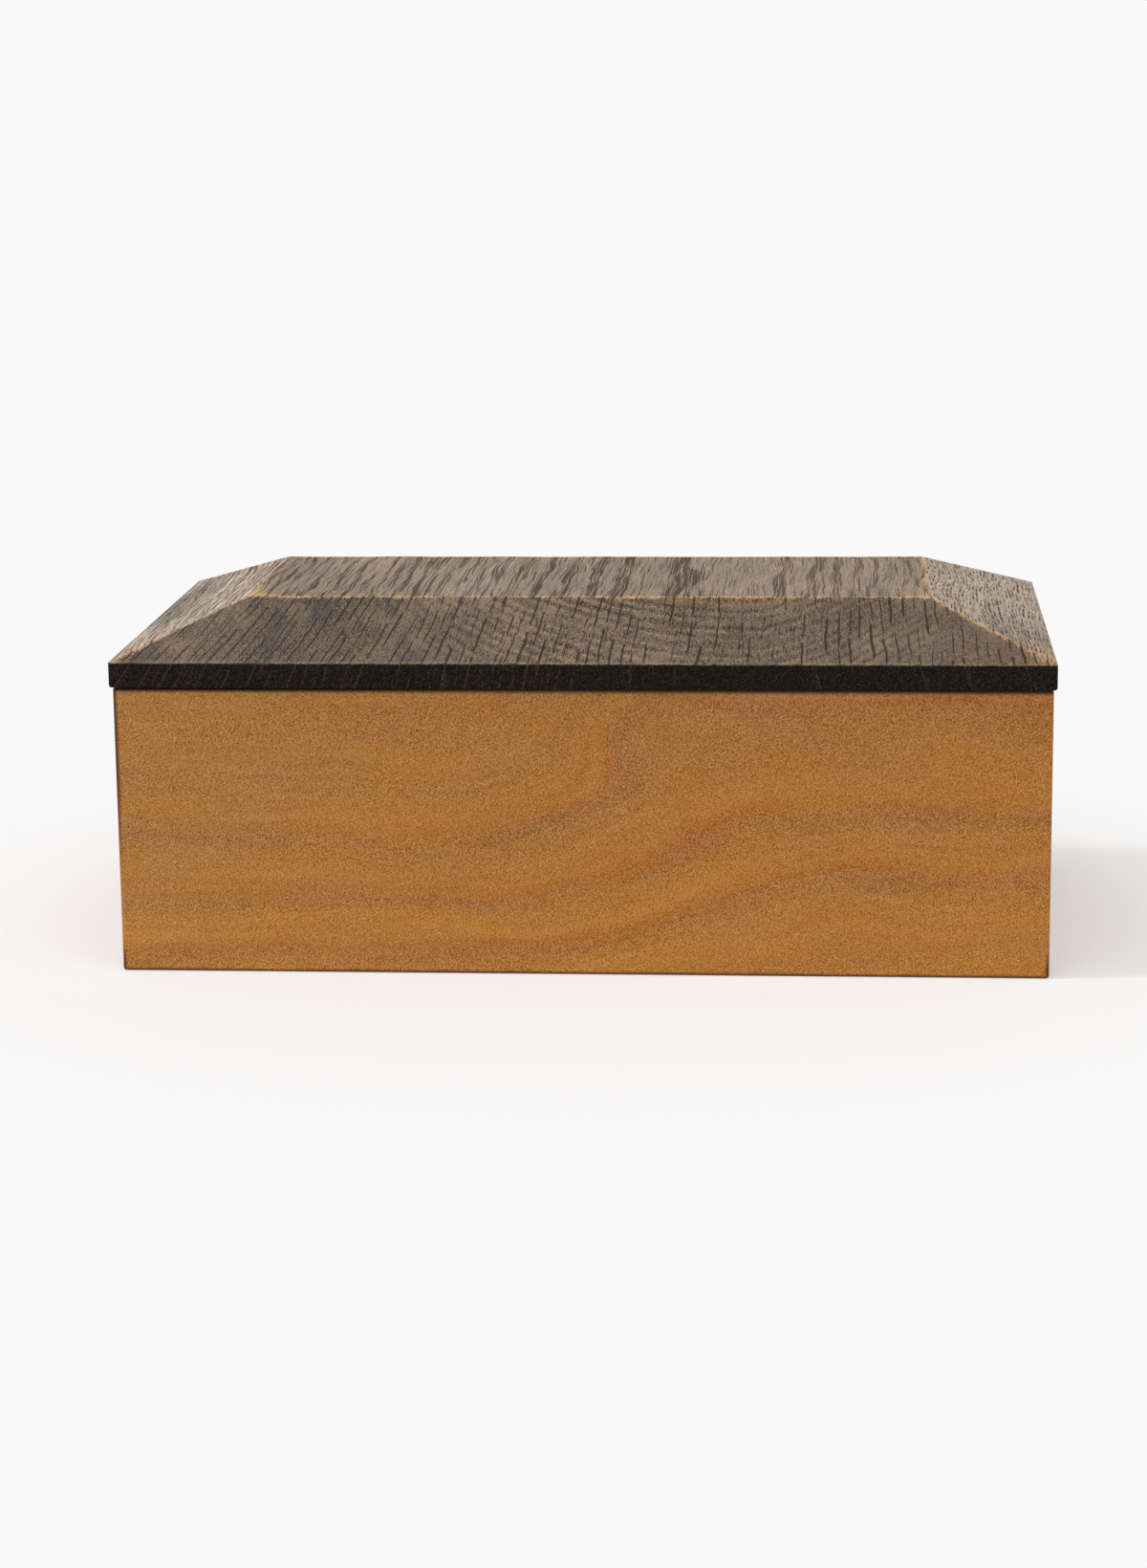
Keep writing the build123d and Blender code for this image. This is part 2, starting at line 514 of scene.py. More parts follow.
@dataclass(frozen=True, kw_only=True)
class Fruitwood(Finish):
    """Fine-grained fruitwood under a thin coat of oil, with bands that climb along the board.

    Lengths are in millimetres.

    Attributes:
        lie: How the board lies.
        shift: Where in the tree the board was cut.
        body: Outside size of the box.
        wall: Thickness of its walls.
        lift: How far the bands climb along the board.
        climb: How much further they climb near the top.
        lift_from: Where along the board they start to climb.
        lift_to: Where they have climbed, at the top.
        lag_below: Level below which the climb takes longer.
        lag: How much longer, for each millimetre below that level.
        slope: How far the bands fall through the thickness, for each millimetre.
        spacing: Distance between the bands.
        phase: Where in a band the foot of the board lies.
        quiet_above: Level in the layers above which the bands fade.
        seed: Gives the board a figure of its own.
        climb_up: Levels over which the bands start to climb further.
        bleached_along: Stretch over which the bleached left end fades out.
        dulled_along: Stretch over which the top grows dull.
        dulled_up: Levels over which it grows dull.
        golden_along: Stretch over which the gold at the foot grows weaker.
        golden_up: Levels over which it fades out.
        dark_left_along: Stretch over which the darker arrises of the left end fade out.
        dark_left_up: Levels over which that darkening sets in.
        shaded_foot: Levels over which the painted shade on the arrises at the foot fades out.
        lid_gap: Distances from the lid's joint over which its painted shade and dirt fade out.
        mitre_gap: Distances from a mitre over which its dirt fades out.
        mitre_from: Distances from the outside over which that dirt sets in.
        sway: Slow sway of the layers.
        ripple: Ripple on top of the sway.
        patches: Where the bands are vivid.
        clouds: Slow change of tone.
        hue: Change of hue.
        line: Colour of the thin line between two bands, with the other colours after it.
        speck: Tint of the fine grain.
        bloom: Tint of the change of hue.
    """

    lie: Lie
    shift: Triple
    body: Triple
    wall: float
    lift: float = 21.0
    climb: float = 14.0
    lift_from: float = -25.0
    lift_to: float = 22.0
    lag_below: float = 60.0
    lag: float = 1.2
    slope: float = 0.35
    spacing: float = 15.2
    phase: float = 0.697
    quiet_above: float = 40.0
    seed: float = 0.0
    climb_up: Span = (45.0, 65.0)
    bleached_along: Span = (-120.0, 0.0)
    dulled_along: Span = (-30.0, 30.0)
    dulled_up: Span = (38.0, 66.0)
    golden_along: Span = (-60.0, 40.0)
    golden_up: Span = (2.0, 34.0)
    dark_left_along: Span = (-90.0, 0.0)
    dark_left_up: Span = (16.0, 50.0)
    shaded_foot: Span = (2.0, 9.0)
    lid_gap: Span = (0.4, 1.5)
    mitre_gap: Span = (0.08, 0.4)
    mitre_from: Span = (0.3, 1.2)
    sway: Mottle = Mottle((50.0, 30.0, 26.0))
    ripple: Mottle = Mottle((15.0, 10.0, 8.0), detail=2.0)
    patches: Mottle = Mottle((40.0, 30.0, 9.0))
    clouds: Mottle = Mottle((60.0, 40.0, 25.0))
    hue: Mottle = Mottle((30.0, 20.0, 8.0), detail=2.0, shift=(0.0, 0.0, 4.0))
    line: Colour = srgb(167, 104, 39)
    orange: Colour = srgb(176, 116, 46)
    tan: Colour = srgb(169, 113, 50)
    brown: Colour = srgb(159, 105, 51)
    pale: Colour = srgb(172, 120, 62)
    gold: Colour = srgb(182, 124, 50)
    # Dark brown of the darker arrises: painted shade at the foot, and a darker line up the arrises of the
    # left end.
    dark_arris_brown: Colour = srgb(84, 40, 4)
    speck: Triple = (0.78, 0.50, 0.21)
    bloom: Triple = (-0.02, 0.01, 0.035)

    def edges(self, graph: Graph) -> tuple[Field, Field]:
        """The outside arrises of the box, and its dark joints: painted shade and dirt under the lid, dirt
        in the mitres.

        Args:
            graph: Where the nodes go.

        Returns:
            Distance from the arrises in millimetres, large inside the box, and the share of darkening in
            the joints.
        """
        x, y, z = graph.split(self.millimetres(graph))
        width, depth, height = self.body
        from_side = width / 2 - abs(x)
        from_end = depth / 2 - abs(y)
        nearer = from_side.smaller(from_end)
        farther = from_side.larger(from_end)
        # Painted shade, with some dirt: a dark band along the top of the walls, under the lid's overhang.
        shade_and_dirt_under_lid = 1.0 - (nearer * 2.5).larger(height - z).rise(*self.lid_gap)
        in_wall = 1.0 - farther.rise(self.wall, self.wall + 0.3)
        mitre = 1.0 - (farther - nearer).rise(*self.mitre_gap)
        mitre = mitre * in_wall * nearer.rise(*self.mitre_from)
        distance = farther.smaller(nearer.larger(z.smaller(height - z)))
        return distance, (shade_and_dirt_under_lid * 0.85).larger(mitre * 0.6)

    def height(self, graph: Graph, place: Socket) -> Field:
        """Height in the tree's own layers, which spread apart along the board and sway.

        Args:
            graph: Where the nodes go.
            place: The board's coordinates in millimetres.

        Returns:
            The height, in millimetres where the layers are closest.
        """
        along, through, up = graph.split(place)
        lag = (self.lag_below - up).larger(0.0) * self.lag
        climb = up.rise(*self.climb_up) * self.climb
        lift = (self.lift + climb) * along.rise(self.lift_from, lag + self.lift_to)
        sway = self.sway.at(graph, along, through, up, self.seed) - 0.5
        ripple = self.ripple.at(graph, along, through, up, self.seed) - 0.5
        return up + through * self.slope - lift + sway * 13.0 + ripple * 3.0

    def layers(self, graph: Graph, place: Socket, height: Field, rings: dict[str, Field]) -> Socket:
        """Colour of the layers: vivid in patches, bleached at the left, dull above and golden below.

        Args:
            graph: Where the nodes go.
            place: The board's coordinates in millimetres.
            height: Height in the tree's own layers.
            rings: The growth rings.

        Returns:
            The colour.
        """
        along, through, up = graph.split(place)
        share = rings["Share"]
        bands = graph.ramp(
            share,
            (0.0, self.line),
            (0.05, self.line),
            (0.2, self.orange),
            (0.42, self.orange),
            (0.66, self.tan),
            (0.9, self.brown),
            (0.95, self.brown),
            (1.0, self.line),
        )
        patches = self.patches.at(graph, along, through, height, self.seed)
        quiet = height.rise(self.quiet_above, self.quiet_above + 8.0) * 0.7
        vivid = (0.3 + patches.rise(0.36, 0.6) * 0.7) * rings["Strength"] * (1.0 - quiet)
        colour = graph.blend(vivid, self.tan, bands)
        bleached = (1.0 - along.rise(*self.bleached_along)) * 0.5
        colour = graph.blend(bleached, colour, self.pale)
        dulled = up.rise(*self.dulled_up) * along.rise(*self.dulled_along) * 0.45
        colour = graph.blend(dulled, colour, self.brown)
        lower = (1.0 - up.rise(*self.golden_up)) * (0.7 - along.rise(*self.golden_along) * 0.45)
        golden = lower * share.rise(0.05, 0.3) * (1.0 - share.rise(0.6, 0.9))
        return graph.blend(golden, colour, self.gold)

    def darken_edges(self, graph: Graph, place: Socket, colour: Socket) -> Socket:
        """Darker arrises, most at the upper left and at the foot, where it is painted shade, and the dark
        joints.

        Args:
            graph: Where the nodes go.
            place: The board's coordinates in millimetres.
            colour: The clean colour.

        Returns:
            The darkened colour.
        """
        along, _, up = graph.split(place)
        at_left = (1.0 - along.rise(*self.dark_left_along)) * up.rise(*self.dark_left_up)
        # Painted shade on the arrises at the foot; higher up at the left end the arrises are only made
        # darker.
        arris_darkening = at_left.larger(1.0 - up.rise(*self.shaded_foot))
        distance, joint_dirt_and_shade = self.edges(graph)
        reach = 0.8 + arris_darkening * 0.4
        edge = graph.group("ragged_arris_band", distance=distance, width=reach, place=place, ragged=0.1)["Mask"]
        colour = graph.blend(edge * arris_darkening * 0.95, colour, self.dark_arris_brown)
        # The joints darkened: painted shade and dirt under the lid, dirt in the mitres.
        return graph.scale(colour, 1.0 - joint_dirt_and_shade)

    def build(self) -> Material:
        """Makes the material.

        Returns:
            The material.
        """
        material, graph, shader = self.start()
        place = self.millimetres(graph, self.lie.value, self.shift)
        along, through, up = graph.split(place)
        height = self.height(graph, place)
        spacing, phase = self.spacing, self.phase
        rings = graph.group("growth_rings", height=height, spacing=spacing, shift=phase, uneven=0.35)
        colour = self.layers(graph, place, height, rings)
        stipple = graph.group("flecks", place=place, length=0.36, width=0.38)["Value"]
        grain = stipple - 0.5
        flow = graph.vector(along, through, height)
        streak = graph.group("flecks", place=flow, length=46.0, width=1.9)["Value"] - 0.5
        thread = graph.group("flecks", place=flow, length=26.0, width=0.6)["Value"] - 0.5
        cloud = self.clouds.at(graph, along, through, up, self.seed) - 0.5
        hue = self.hue.at(graph, along, through, up, self.seed) - 0.5
        coarse = rings["Share"].rise(0.25, 0.75)
        # Painted light: the wall grows lighter towards its foot, as light bounced from the floor would make
        # it.
        painted_bounce_below = (30.0 - up) * 0.0012
        tone = 1.0 + streak * 0.11 + thread * 0.12 + cloud * 0.16 + painted_bounce_below
        specks = grain * (0.85 + coarse * 0.18) + streak * 0.06
        colour = graph.tinge(graph.scale(colour, tone), self.speck, specks)
        colour = self.darken_edges(graph, place, graph.tinge(colour, self.bloom, hue))
        roughness = 0.5 - grain * 0.3 + coarse * 0.06
        self.feed(graph, shader, colour, roughness, stipple * 0.8 + coarse * 0.2)
        return material


@dataclass(frozen=True)
class LidZones:
    """Where a point lies on the lid: coordinates and distances in millimetres, and shares from 0 to 1.

    Attributes:
        place: The coordinates together.
        x: Place along the lid, from its middle to the right.
        y: Place from its middle to the back.
        z: Height above the table.
        from_field_x: Distance out beyond the left or right edge of the field.
        from_field_y: Distance out beyond its front or back edge.
        outward: The larger of the two, 0 on the ridge round the field.
        on_field: The flat field.
        on_side: The left and right bevels, cut along the grain.
        on_end: The front and back bevels, cut across the grain.
        on_right: The right bevel.
        on_front: The front bevel.
        on_rim: The square rim.
        leftward: The left half.
        rightward: The right half.
        frontward: The front half.
        middle: The stretch where the rings stand out, a little right of the middle.
    """

    place: Socket
    x: Field
    y: Field
    z: Field
    from_field_x: Field
    from_field_y: Field
    outward: Field
    on_field: Field
    on_side: Field
    on_end: Field
    on_right: Field
    on_front: Field
    on_rim: Field
    leftward: Field
    rightward: Field
    frontward: Field
    middle: Field


@dataclass(frozen=True)
class OakFigure:
    """What the cut lays bare: place in the rings, masks from 0 to 1, and noise about 0.

    Attributes:
        share: Place in a growth ring, from its start to its end.
        early: The porous start of each ring.
        pore: Open pores.
        swing: Distance across the rays, in millimetres.
        ray: Broad rays.
        thin_ray: Thin rays.
        rays: Both, as strongly as they show on the bevels.
        speck: Small pale marks.
        fine: The plain noise of those marks.
        hair: Fine noise along the fibres.
        clouds: Slow change of tone.
        warmth: Patches of a warmer tone.
        dots: Dots that break up the wear.
        patches: Patches that the wear comes and goes in.
    """

    share: Field
    early: Field
    pore: Field
    swing: Field
    ray: Field
    thin_ray: Field
    rays: Field
    speck: Field
    fine: Field
    hair: Field
    clouds: Field
    warmth: Field
    dots: Field
    patches: Field


@dataclass(frozen=True, kw_only=True)
class SmokedOak(Finish):
    """Oak darkened all through, left black on the rim and rubbed back on the bevels and the field.

    Lengths are in millimetres. The colours come first, then the lines and the noises of the figure.

    Attributes:
        half_width: Half the width of the lid.
        half_depth: Half its depth.
        bevel: Width of a bevel, measured level.
        rim_top: Height of the top of the rim.
        pith: Where the heart of the tree lay, along the lid and above the table.
        ring: Distance between the growth rings.
        seam: Half the width over which one face goes over into the next.
        halves: Stretch over which one half of the lid goes over into the other.
        heart: Where along the lid the rings stand out most.
        heart_fade: Distances from there over which they fade out.
        fan_at: Where along the lid the rays stand upright.
        fan_depth: How far above the rim the rays would meet.
        long_rays: Stretch over which the rays grow longer again at the right.
        quiet: Stretch over which the front grows quieter to the right.
        dark_right: Stretch over which the right end of the front grows darker.
        stain_front: Stretch over which the stain on the left bevel sets in.
        stain_back: Stretch over which it fades again.
        dim_down: Distances from the field over which the right bevel grows dim.
        dim_back: Stretch over which it grows bright again.
        foot_front: Stretch over which the rubbed foot of the right bevel ends.
        sunned: Stretch over which the field grows warmer.
        amber_at: Where along the front ridge the amber patch lies.
        amber_fade: Distances from there over which it fades out.
        amber_down: Distances from the field over which it fades out.
        amber_corner: Stretch over which the amber of the low right corner sets in.
        filled: Stretch over which the pores of the field are filled.
        dust: Tint of the dust on the rim.
    """

    shine: float = 0.08
    relief: float = 0.16
    half_width: float
    half_depth: float
    bevel: float
    rim_top: float
    pith: tuple[float, float] = (38.0, 280.0)
    ring: float = 1.5
    seam: float = 0.1
    halves: Span = (-20.0, 20.0)
    heart: float = 22.0
    heart_fade: Span = (20.0, 85.0)
    fan_at: float = 20.0
    fan_depth: float = 220.0
    long_rays: Span = (50.0, 80.0)
    quiet: Span = (5.0, 45.0)
    dark_right: Span = (40.0, 70.0)
    stain_front: Span = (-35.0, -10.0)
    stain_back: Span = (10.0, 55.0)
    dim_down: Span = (4.0, 18.0)
    dim_back: Span = (-45.0, 20.0)
    foot_front: Span = (-52.0, -28.0)
    sunned: Span = (40.0, 80.0)
    amber_at: float = 38.0
    amber_fade: Span = (8.0, 26.0)
    amber_down: Span = (1.0, 5.0)
    amber_corner: Span = (84.0, 113.0)
    filled: Span = (20.0, 70.0)
    rim: Colour = srgb(24, 16, 7)
    rim_ray: Colour = srgb(88, 72, 57)
    end_cut: Colour = srgb(104, 90, 79)
    field: Colour = srgb(146, 128, 112)
    side_cut: Colour = srgb(186, 168, 150)
    pore: Colour = srgb(53, 40, 29)
    ray: Colour = srgb(40, 30, 23)
    tan: Colour = srgb(165, 141, 112)
    bare: Colour = srgb(214, 172, 120)
    amber: Colour = srgb(160, 112, 62)
    smoke: Colour = srgb(76, 70, 69)
    dust: Triple = (0.13, 0.115, 0.1)
    broad_ray: Dash = Dash(
        spacing=2.8, half_width=0.18, length=14.0, least=0.0, most=1.5, taper=0.25, stray=0.25, seed=0.0
    )
    thin_ray: Dash = Dash(
        spacing=1.1, half_width=0.11, length=8.0, least=-0.25, most=1.1, taper=0.25, stray=0.3, seed=3.0
    )
    vessel: Dash = Dash(
        spacing=0.95, half_width=0.125, length=8.0, least=0.15, most=1.05, taper=0.1, stray=0.2, seed=0.4
    )
    sway: Mottle = Mottle((45.0, 60.0, 45.0))
    ripple: Mottle = Mottle((10.0, 26.0, 10.0), detail=2.0)
    bends: Mottle = Mottle((30.0, 50.0, 30.0), detail=2.0)
    kinks: Mottle = Mottle((5.0, 9.0, 4.0))
    clouds: Mottle = Mottle((22.0, 60.0, 22.0), detail=2.0)
    warmth: Mottle = Mottle((10.0, 40.0, 7.0), shift=(0.0, 0.0, 5.0))
    coolness: Mottle = Mottle((10.0, 40.0, 8.0), shift=(3.0, 0.0, 0.0))
    broken: Mottle = Mottle((5.0, 5.0, 2.0))
    streaks: Mottle = Mottle((1.1, 45.0, 1.0))
    dots: Mottle = Mottle((1 / 1.3, 2.5 / 1.3, 1 / 1.3))
    patches: Mottle = Mottle((7.0, 7.0, 1.0), shift=(0.0, 0.0, 2.0))
    rare: Mottle = Mottle((5.0, 1.0, 1.0), shift=(0.0, 0.0, 7.0))
    soot: Mottle = Mottle((1 / 1.6, 1 / 1.6, 1 / 1.6))

    def zones(self, graph: Graph) -> LidZones:
        """Works out where each point lies on the lid.

        Args:
            graph: Where the nodes go.

        Returns:
            The zones.
        """
        place = self.millimetres(graph)
        x, y, z = graph.split(place)
        from_field_x = abs(x) - (self.half_width - self.bevel)
        from_field_y = abs(y) - (self.half_depth - self.bevel)
        outward = from_field_x.larger(from_field_y)
        on_bevel = outward.rise(-self.seam, self.seam)
        on_side = (from_field_x - from_field_y).rise(-self.seam, self.seam) * on_bevel
        on_end = on_bevel - on_side
        leftward = 1.0 - x.rise(*self.halves)
        rightward = 1.0 - leftward
        frontward = 1.0 - y.rise(*self.halves)
        return LidZones(
            place=place,
            x=x,
            y=y,
            z=z,
            from_field_x=from_field_x,
            from_field_y=from_field_y,
            outward=outward,
            on_field=1.0 - on_bevel,
            on_side=on_side,
            on_end=on_end,
            on_right=on_side * rightward,
            on_front=on_end * frontward,
            on_rim=1.0 - z.rise(self.rim_top - 0.25, self.rim_top + 0.05),
            leftward=leftward,
            rightward=rightward,
            frontward=frontward,
            middle=1.0 - abs(x - self.heart).rise(*self.heart_fade),
        )

    def swing(self, graph: Graph, lid: LidZones) -> Field:
        """Distance across the rays, which fan out from the pith and lean a little along the grain.

        Args:
            graph: Where the nodes go.
            lid: Where each point lies.

        Returns:
            The distance, in millimetres at the top of the rim.
        """
        x, y, z = lid.x, lid.y, lid.z
        fan = (self.fan_at - x) / self.fan_depth
        lean = 0.06 + (-30.0 - x).larger(0.0) * 0.002
        bends = self.bends.at(graph, x, y, z) - 0.5
        kinks = self.kinks.at(graph, x, y, z) - 0.5
        return x - (z - self.rim_top) * fan - (y + self.half_depth) * lean + bends * 4.0 + kinks * 0.8

    def figure(self, graph: Graph, lid: LidZones) -> OakFigure:
        """Draws the rings, the pores, the rays and the finer marks.

        Args:
            graph: Where the nodes go.
            lid: Where each point lies.

        Returns:
            The figure.
        """
        x, y, z = lid.x, lid.y, lid.z
        sway = self.sway.at(graph, x, y, z) - 0.5
        ripple = self.ripple.at(graph, x, y, z) - 0.5
        across = x - self.pith[0] + sway * 16.0 + ripple * 4.0
        below = self.pith[1] - z + sway * 3.0
        radius = graph.math("SQRT", across * across + below * below) + (x - 45.0).larger(0.0) * 0.15
        rings = graph.group("growth_rings", height=radius, spacing=self.ring, shift=0.0, uneven=0.6)
        early = rings["Early"]

        fibre = graph.vector(y, x + ripple * 3.0, z * 0.55)
        length = 24.0 - lid.on_side * 15.0
        cover = 0.642 + lid.on_end * 0.03 - lid.on_side * 0.01 - early * (0.18 - lid.on_end * 0.05)
        pore = graph.group("flecks", place=fibre, length=length, width=0.36, cover=cover, soft=0.04)["Mask"]
        pore = pore * (1.0 - lid.on_end * (1.0 - lid.middle) * 0.5)
        vessel = self.vessel.draw(graph, x + ripple * 3.0 + sway * 5.0, y + x * 0.6)
        pore = (pore * (1.0 - lid.on_right * 0.7)).larger(vessel * lid.on_right)

        swing = self.swing(graph, lid)
        run = (z - abs(y) / 2.4) * (1.0 - (-20.0 - x).rise(0.0, 60.0) * 0.4)
        longer = lid.leftward * 0.4 + x.rise(*self.long_rays) * 0.5
        ray = self.broad_ray.draw(graph, swing, run, longer)
        thin_ray = self.thin_ray.draw(graph, swing, run)

        grain = graph.vector(y, x, z)
        specks = graph.group("flecks", place=grain, length=1.1, width=0.3, cover=0.54, soft=0.06)
        hairs = graph.group("flecks", place=fibre, length=18.0, width=0.24)
        return OakFigure(
            share=rings["Share"],
            early=early,
            pore=pore,
            swing=swing,
            ray=ray,
            thin_ray=thin_ray,
            rays=ray.larger(thin_ray * (0.3 + lid.middle * 0.3 + lid.leftward * 0.3)),
            speck=specks["Mask"],
            fine=specks["Value"] - 0.5,
            hair=hairs["Value"] - 0.5,
            clouds=self.clouds.at(graph, x, y, z) - 0.5,
            warmth=self.warmth.at(graph, x, y, z).rise(0.48, 0.68),
            dots=self.dots.at(graph, x, y, z).rise(0.4, 0.56),
            patches=self.patches.at(graph, x, y, 0.0).rise(0.36, 0.6),
        )

    def planed(self, graph: Graph, lid: LidZones, oak: OakFigure) -> Socket:
        """Colour of the planed faces: each its own tone, mottled, and ringed where the ends are cut.

        Args:
            graph: Where the nodes go.
            lid: Where each point lies.
            oak: The figure of the wood.

        Returns:
            The colour.
        """
        x, y, z = lid.x, lid.y, lid.z
        on_end, middle = lid.on_end, lid.middle
        quieter = x.rise(*self.quiet)
        far_right = on_end * x.rise(*self.dark_right)
        grit = 1.8 + on_end * (1.45 - middle * 0.3 - quieter * 0.75)
        mottle = oak.clouds * (0.5 + on_end * 0.8) + oak.fine * grit + oak.hair * (1.4 - on_end * 0.7)
        cut = graph.blend(on_end, graph.blend(lid.on_side, self.field, self.side_cut), self.end_cut)
        cut = graph.scale(cut, 1.0 + mottle - far_right * 0.12)
        cut = graph.blend(oak.warmth * on_end * 0.26, cut, self.tan)
        coolness = self.coolness.at(graph, x, y, z).rise(0.5, 0.66)
        cooled = coolness * on_end * (0.3 + lid.leftward * 0.35) * (1.0 - middle * 0.4)
        cut = graph.blend(cooled, cut, self.smoke)

        late = oak.share.rise(0.52, 0.64) * (1.0 - oak.share.rise(0.74, 0.88))
        banded = on_end * middle * (1.0 - quieter * 0.45)
        broken = self.broken.at(graph, x, y, z).rise(0.35, 0.6)
        cut = graph.scale(cut, 1.0 - oak.early * banded * broken * 0.2)
        ring_line = late * broken * (0.24 + oak.speck * 0.24)
        lightened = on_end * 0.15 * oak.speck + banded * (0.06 + oak.speck * 0.22 + ring_line)
        return graph.blend(lightened, cut, self.tan)

    def weathered(self, graph: Graph, lid: LidZones, cut: Socket) -> Socket:
        """Streaks on the side bevels, a stain low on the left one and a dim front on the right one.

        Args:
            graph: Where the nodes go.
            lid: Where each point lies.
            cut: Colour of the planed faces.

        Returns:
            The colour.
        """
        streaks = self.streaks.at(graph, lid.x, lid.y, 0.0) - 0.5
        streaked = streaks * lid.on_side * (0.3 + lid.leftward * 1.4)
        cut = graph.scale(cut, 1.0 + streaked - lid.on_side * (0.04 + lid.leftward * 0.02))
        stained = lid.outward.rise(self.bevel * 0.5, self.bevel * 0.85) * lid.y.rise(*self.stain_front)
        stained = stained * (1.0 - lid.y.rise(*self.stain_back) * 0.65) * lid.leftward * lid.on_side
        dimmed = lid.outward.rise(*self.dim_down) * (1.0 - lid.y.rise(*self.dim_back)) * lid.on_right
        return graph.scale(cut, (1.0 - stained * 0.45) * (1.0 - dimmed * 0.34))

    def rubbed(self, graph: Graph, lid: LidZones, oak: OakFigure) -> Field:
        """Where handling has rubbed the wood bare: arrises, corners and the foot of the right bevel.

        Args:
            graph: Where the nodes go.
            lid: Where each point lies.
            oak: The figure of the wood.

        Returns:
            The share that is bare.
        """
        from_x, from_y = lid.from_field_x, lid.from_field_y
        inner = from_x.smaller(from_y)
        hip = abs(from_x - from_y) / ROOT_2 + (1.0 - inner.rise(-0.5, 0.5)) * 9.0
        high_corner = 1.0 - abs(from_x).larger(abs(from_y)).rise(0.0, 9.0)
        low_corner = inner.rise(self.bevel - 11.0, self.bevel)
        on_ridge = 1.0 - abs(from_x).rise(0.0, 3.0)
        on_hip = inner.rise(0.5, 3.0)
        width = 0.95 + on_ridge * (lid.rightward * 0.4 - 0.6) + on_hip * (lid.rightward * 0.5 - 0.55)
        width = width + (high_corner * lid.rightward * 0.6 + low_corner * 3.0)
        nearest = abs(lid.outward).smaller(hip)
        worn = graph.group("ragged_arris_band", distance=nearest, width=width, place=lid.place, ragged=0.9)["Mask"]
        worn = worn * (0.3 + oak.patches * 0.3 + oak.dots * 0.3)
        from_corner = abs(from_x) / 9.0 + abs(from_y) / 22.0
        corner = (1.0 - from_corner.rise(0.3, 0.95)) * lid.leftward * lid.frontward * lid.on_field
        low_down = lid.outward.rise(self.bevel * 0.55, self.bevel)
        foot = low_down * (1.0 - lid.y.rise(*self.foot_front)) * lid.on_right
        worn = worn.larger(corner * (0.6 + oak.dots * 0.35))
        return worn.larger(foot * (0.2 + oak.dots * 0.4))

    def worn(self, graph: Graph, lid: LidZones, oak: OakFigure, cut: Socket) -> Socket:
        """Lays the wear over the cut: bare wood, and amber under the ridge and at the low right corner.

        Args:
            graph: Where the nodes go.
            lid: Where each point lies.
            oak: The figure of the wood.
            cut: Colour of the planed faces.

        Returns:
            The colour.
        """
        sunned = lid.x.rise(*self.sunned) * lid.on_field * oak.warmth
        cut = graph.blend(sunned * 0.2, cut, self.bare)
        cut = graph.blend(self.rubbed(graph, lid, oak), cut, self.bare)
        under_ridge = 1.0 - abs(lid.x - self.amber_at).rise(*self.amber_fade)
        under_ridge = under_ridge * (1.0 - lid.outward.rise(*self.amber_down))
        low_right = lid.x.rise(*self.amber_corner) * lid.outward.rise(self.bevel * 0.3, self.bevel * 0.9)
        golden = under_ridge.larger(low_right * 0.6) * lid.on_front
        return graph.blend(golden * (0.1 + oak.dots * 0.3), cut, self.amber)

    def lined(self, graph: Graph, lid: LidZones, oak: OakFigure, cut: Socket) -> Socket:
        """Draws the pores and the rays into the cut.

        Args:
            graph: Where the nodes go.
            lid: Where each point lies.
            oak: The figure of the wood.
            cut: Colour without them.

        Returns:
            The colour.
        """
        filled = lid.x.rise(*self.filled) * lid.on_field * 0.18
        depth = 0.8 + lid.on_right * 0.12 - lid.on_end * 0.08 - filled
        cut = graph.blend(oak.pore * depth, cut, self.pore)
        return graph.blend(oak.rays * (0.2 + lid.on_end * 0.7), cut, self.ray)

    def black_rim(self, graph: Graph, lid: LidZones, oak: OakFigure) -> Socket:
        """Colour of the rim, nearly black, with a few rays, dust and soot.

        Args:
            graph: Where the nodes go.
            lid: Where each point lies.
            oak: The figure of the wood.

        Returns:
            The colour.
        """
        plenty = lid.leftward * 0.12
        rare = self.rare.at(graph, oak.swing, 0.0, 0.0).rise(0.5 - plenty, 0.6 - plenty)
        lines = oak.ray.larger(oak.thin_ray * 0.7) * rare * 0.33
        soot = self.soot.at(graph, lid.x, lid.y, lid.z) - 0.5
        rim = graph.blend(lines, self.rim, self.rim_ray)
        return graph.tinge(rim, self.dust, oak.fine * 0.85 + soot * 0.35)

    def build(self) -> Material:
        """Makes the material.

        Returns:
            The material.
        """
        material, graph, shader = self.start()
        lid = self.zones(graph)
        oak = self.figure(graph, lid)
        cut = self.weathered(graph, lid, self.planed(graph, lid, oak))
        cut = self.lined(graph, lid, oak, self.worn(graph, lid, oak, cut))
        colour = graph.blend(lid.on_rim, cut, self.black_rim(graph, lid, oak))
        # A light tan line along the arris between the rim and the bevels: partly wear, partly a painted
        # highlight.
        lip = (1.0 - abs(lid.z - self.rim_top).rise(0.1, 0.45)) * (0.3 + oak.patches * 0.7)
        colour = graph.blend(lip * (0.12 + oak.dots * 0.35), colour, self.tan)
        roughness = 0.66 + oak.pore * 0.15 - oak.clouds * 0.2
        height = 1.0 - oak.pore * 0.6 - oak.rays * 0.4 + oak.fine * 0.5
        self.feed(graph, shader, colour, roughness, height)
        return material


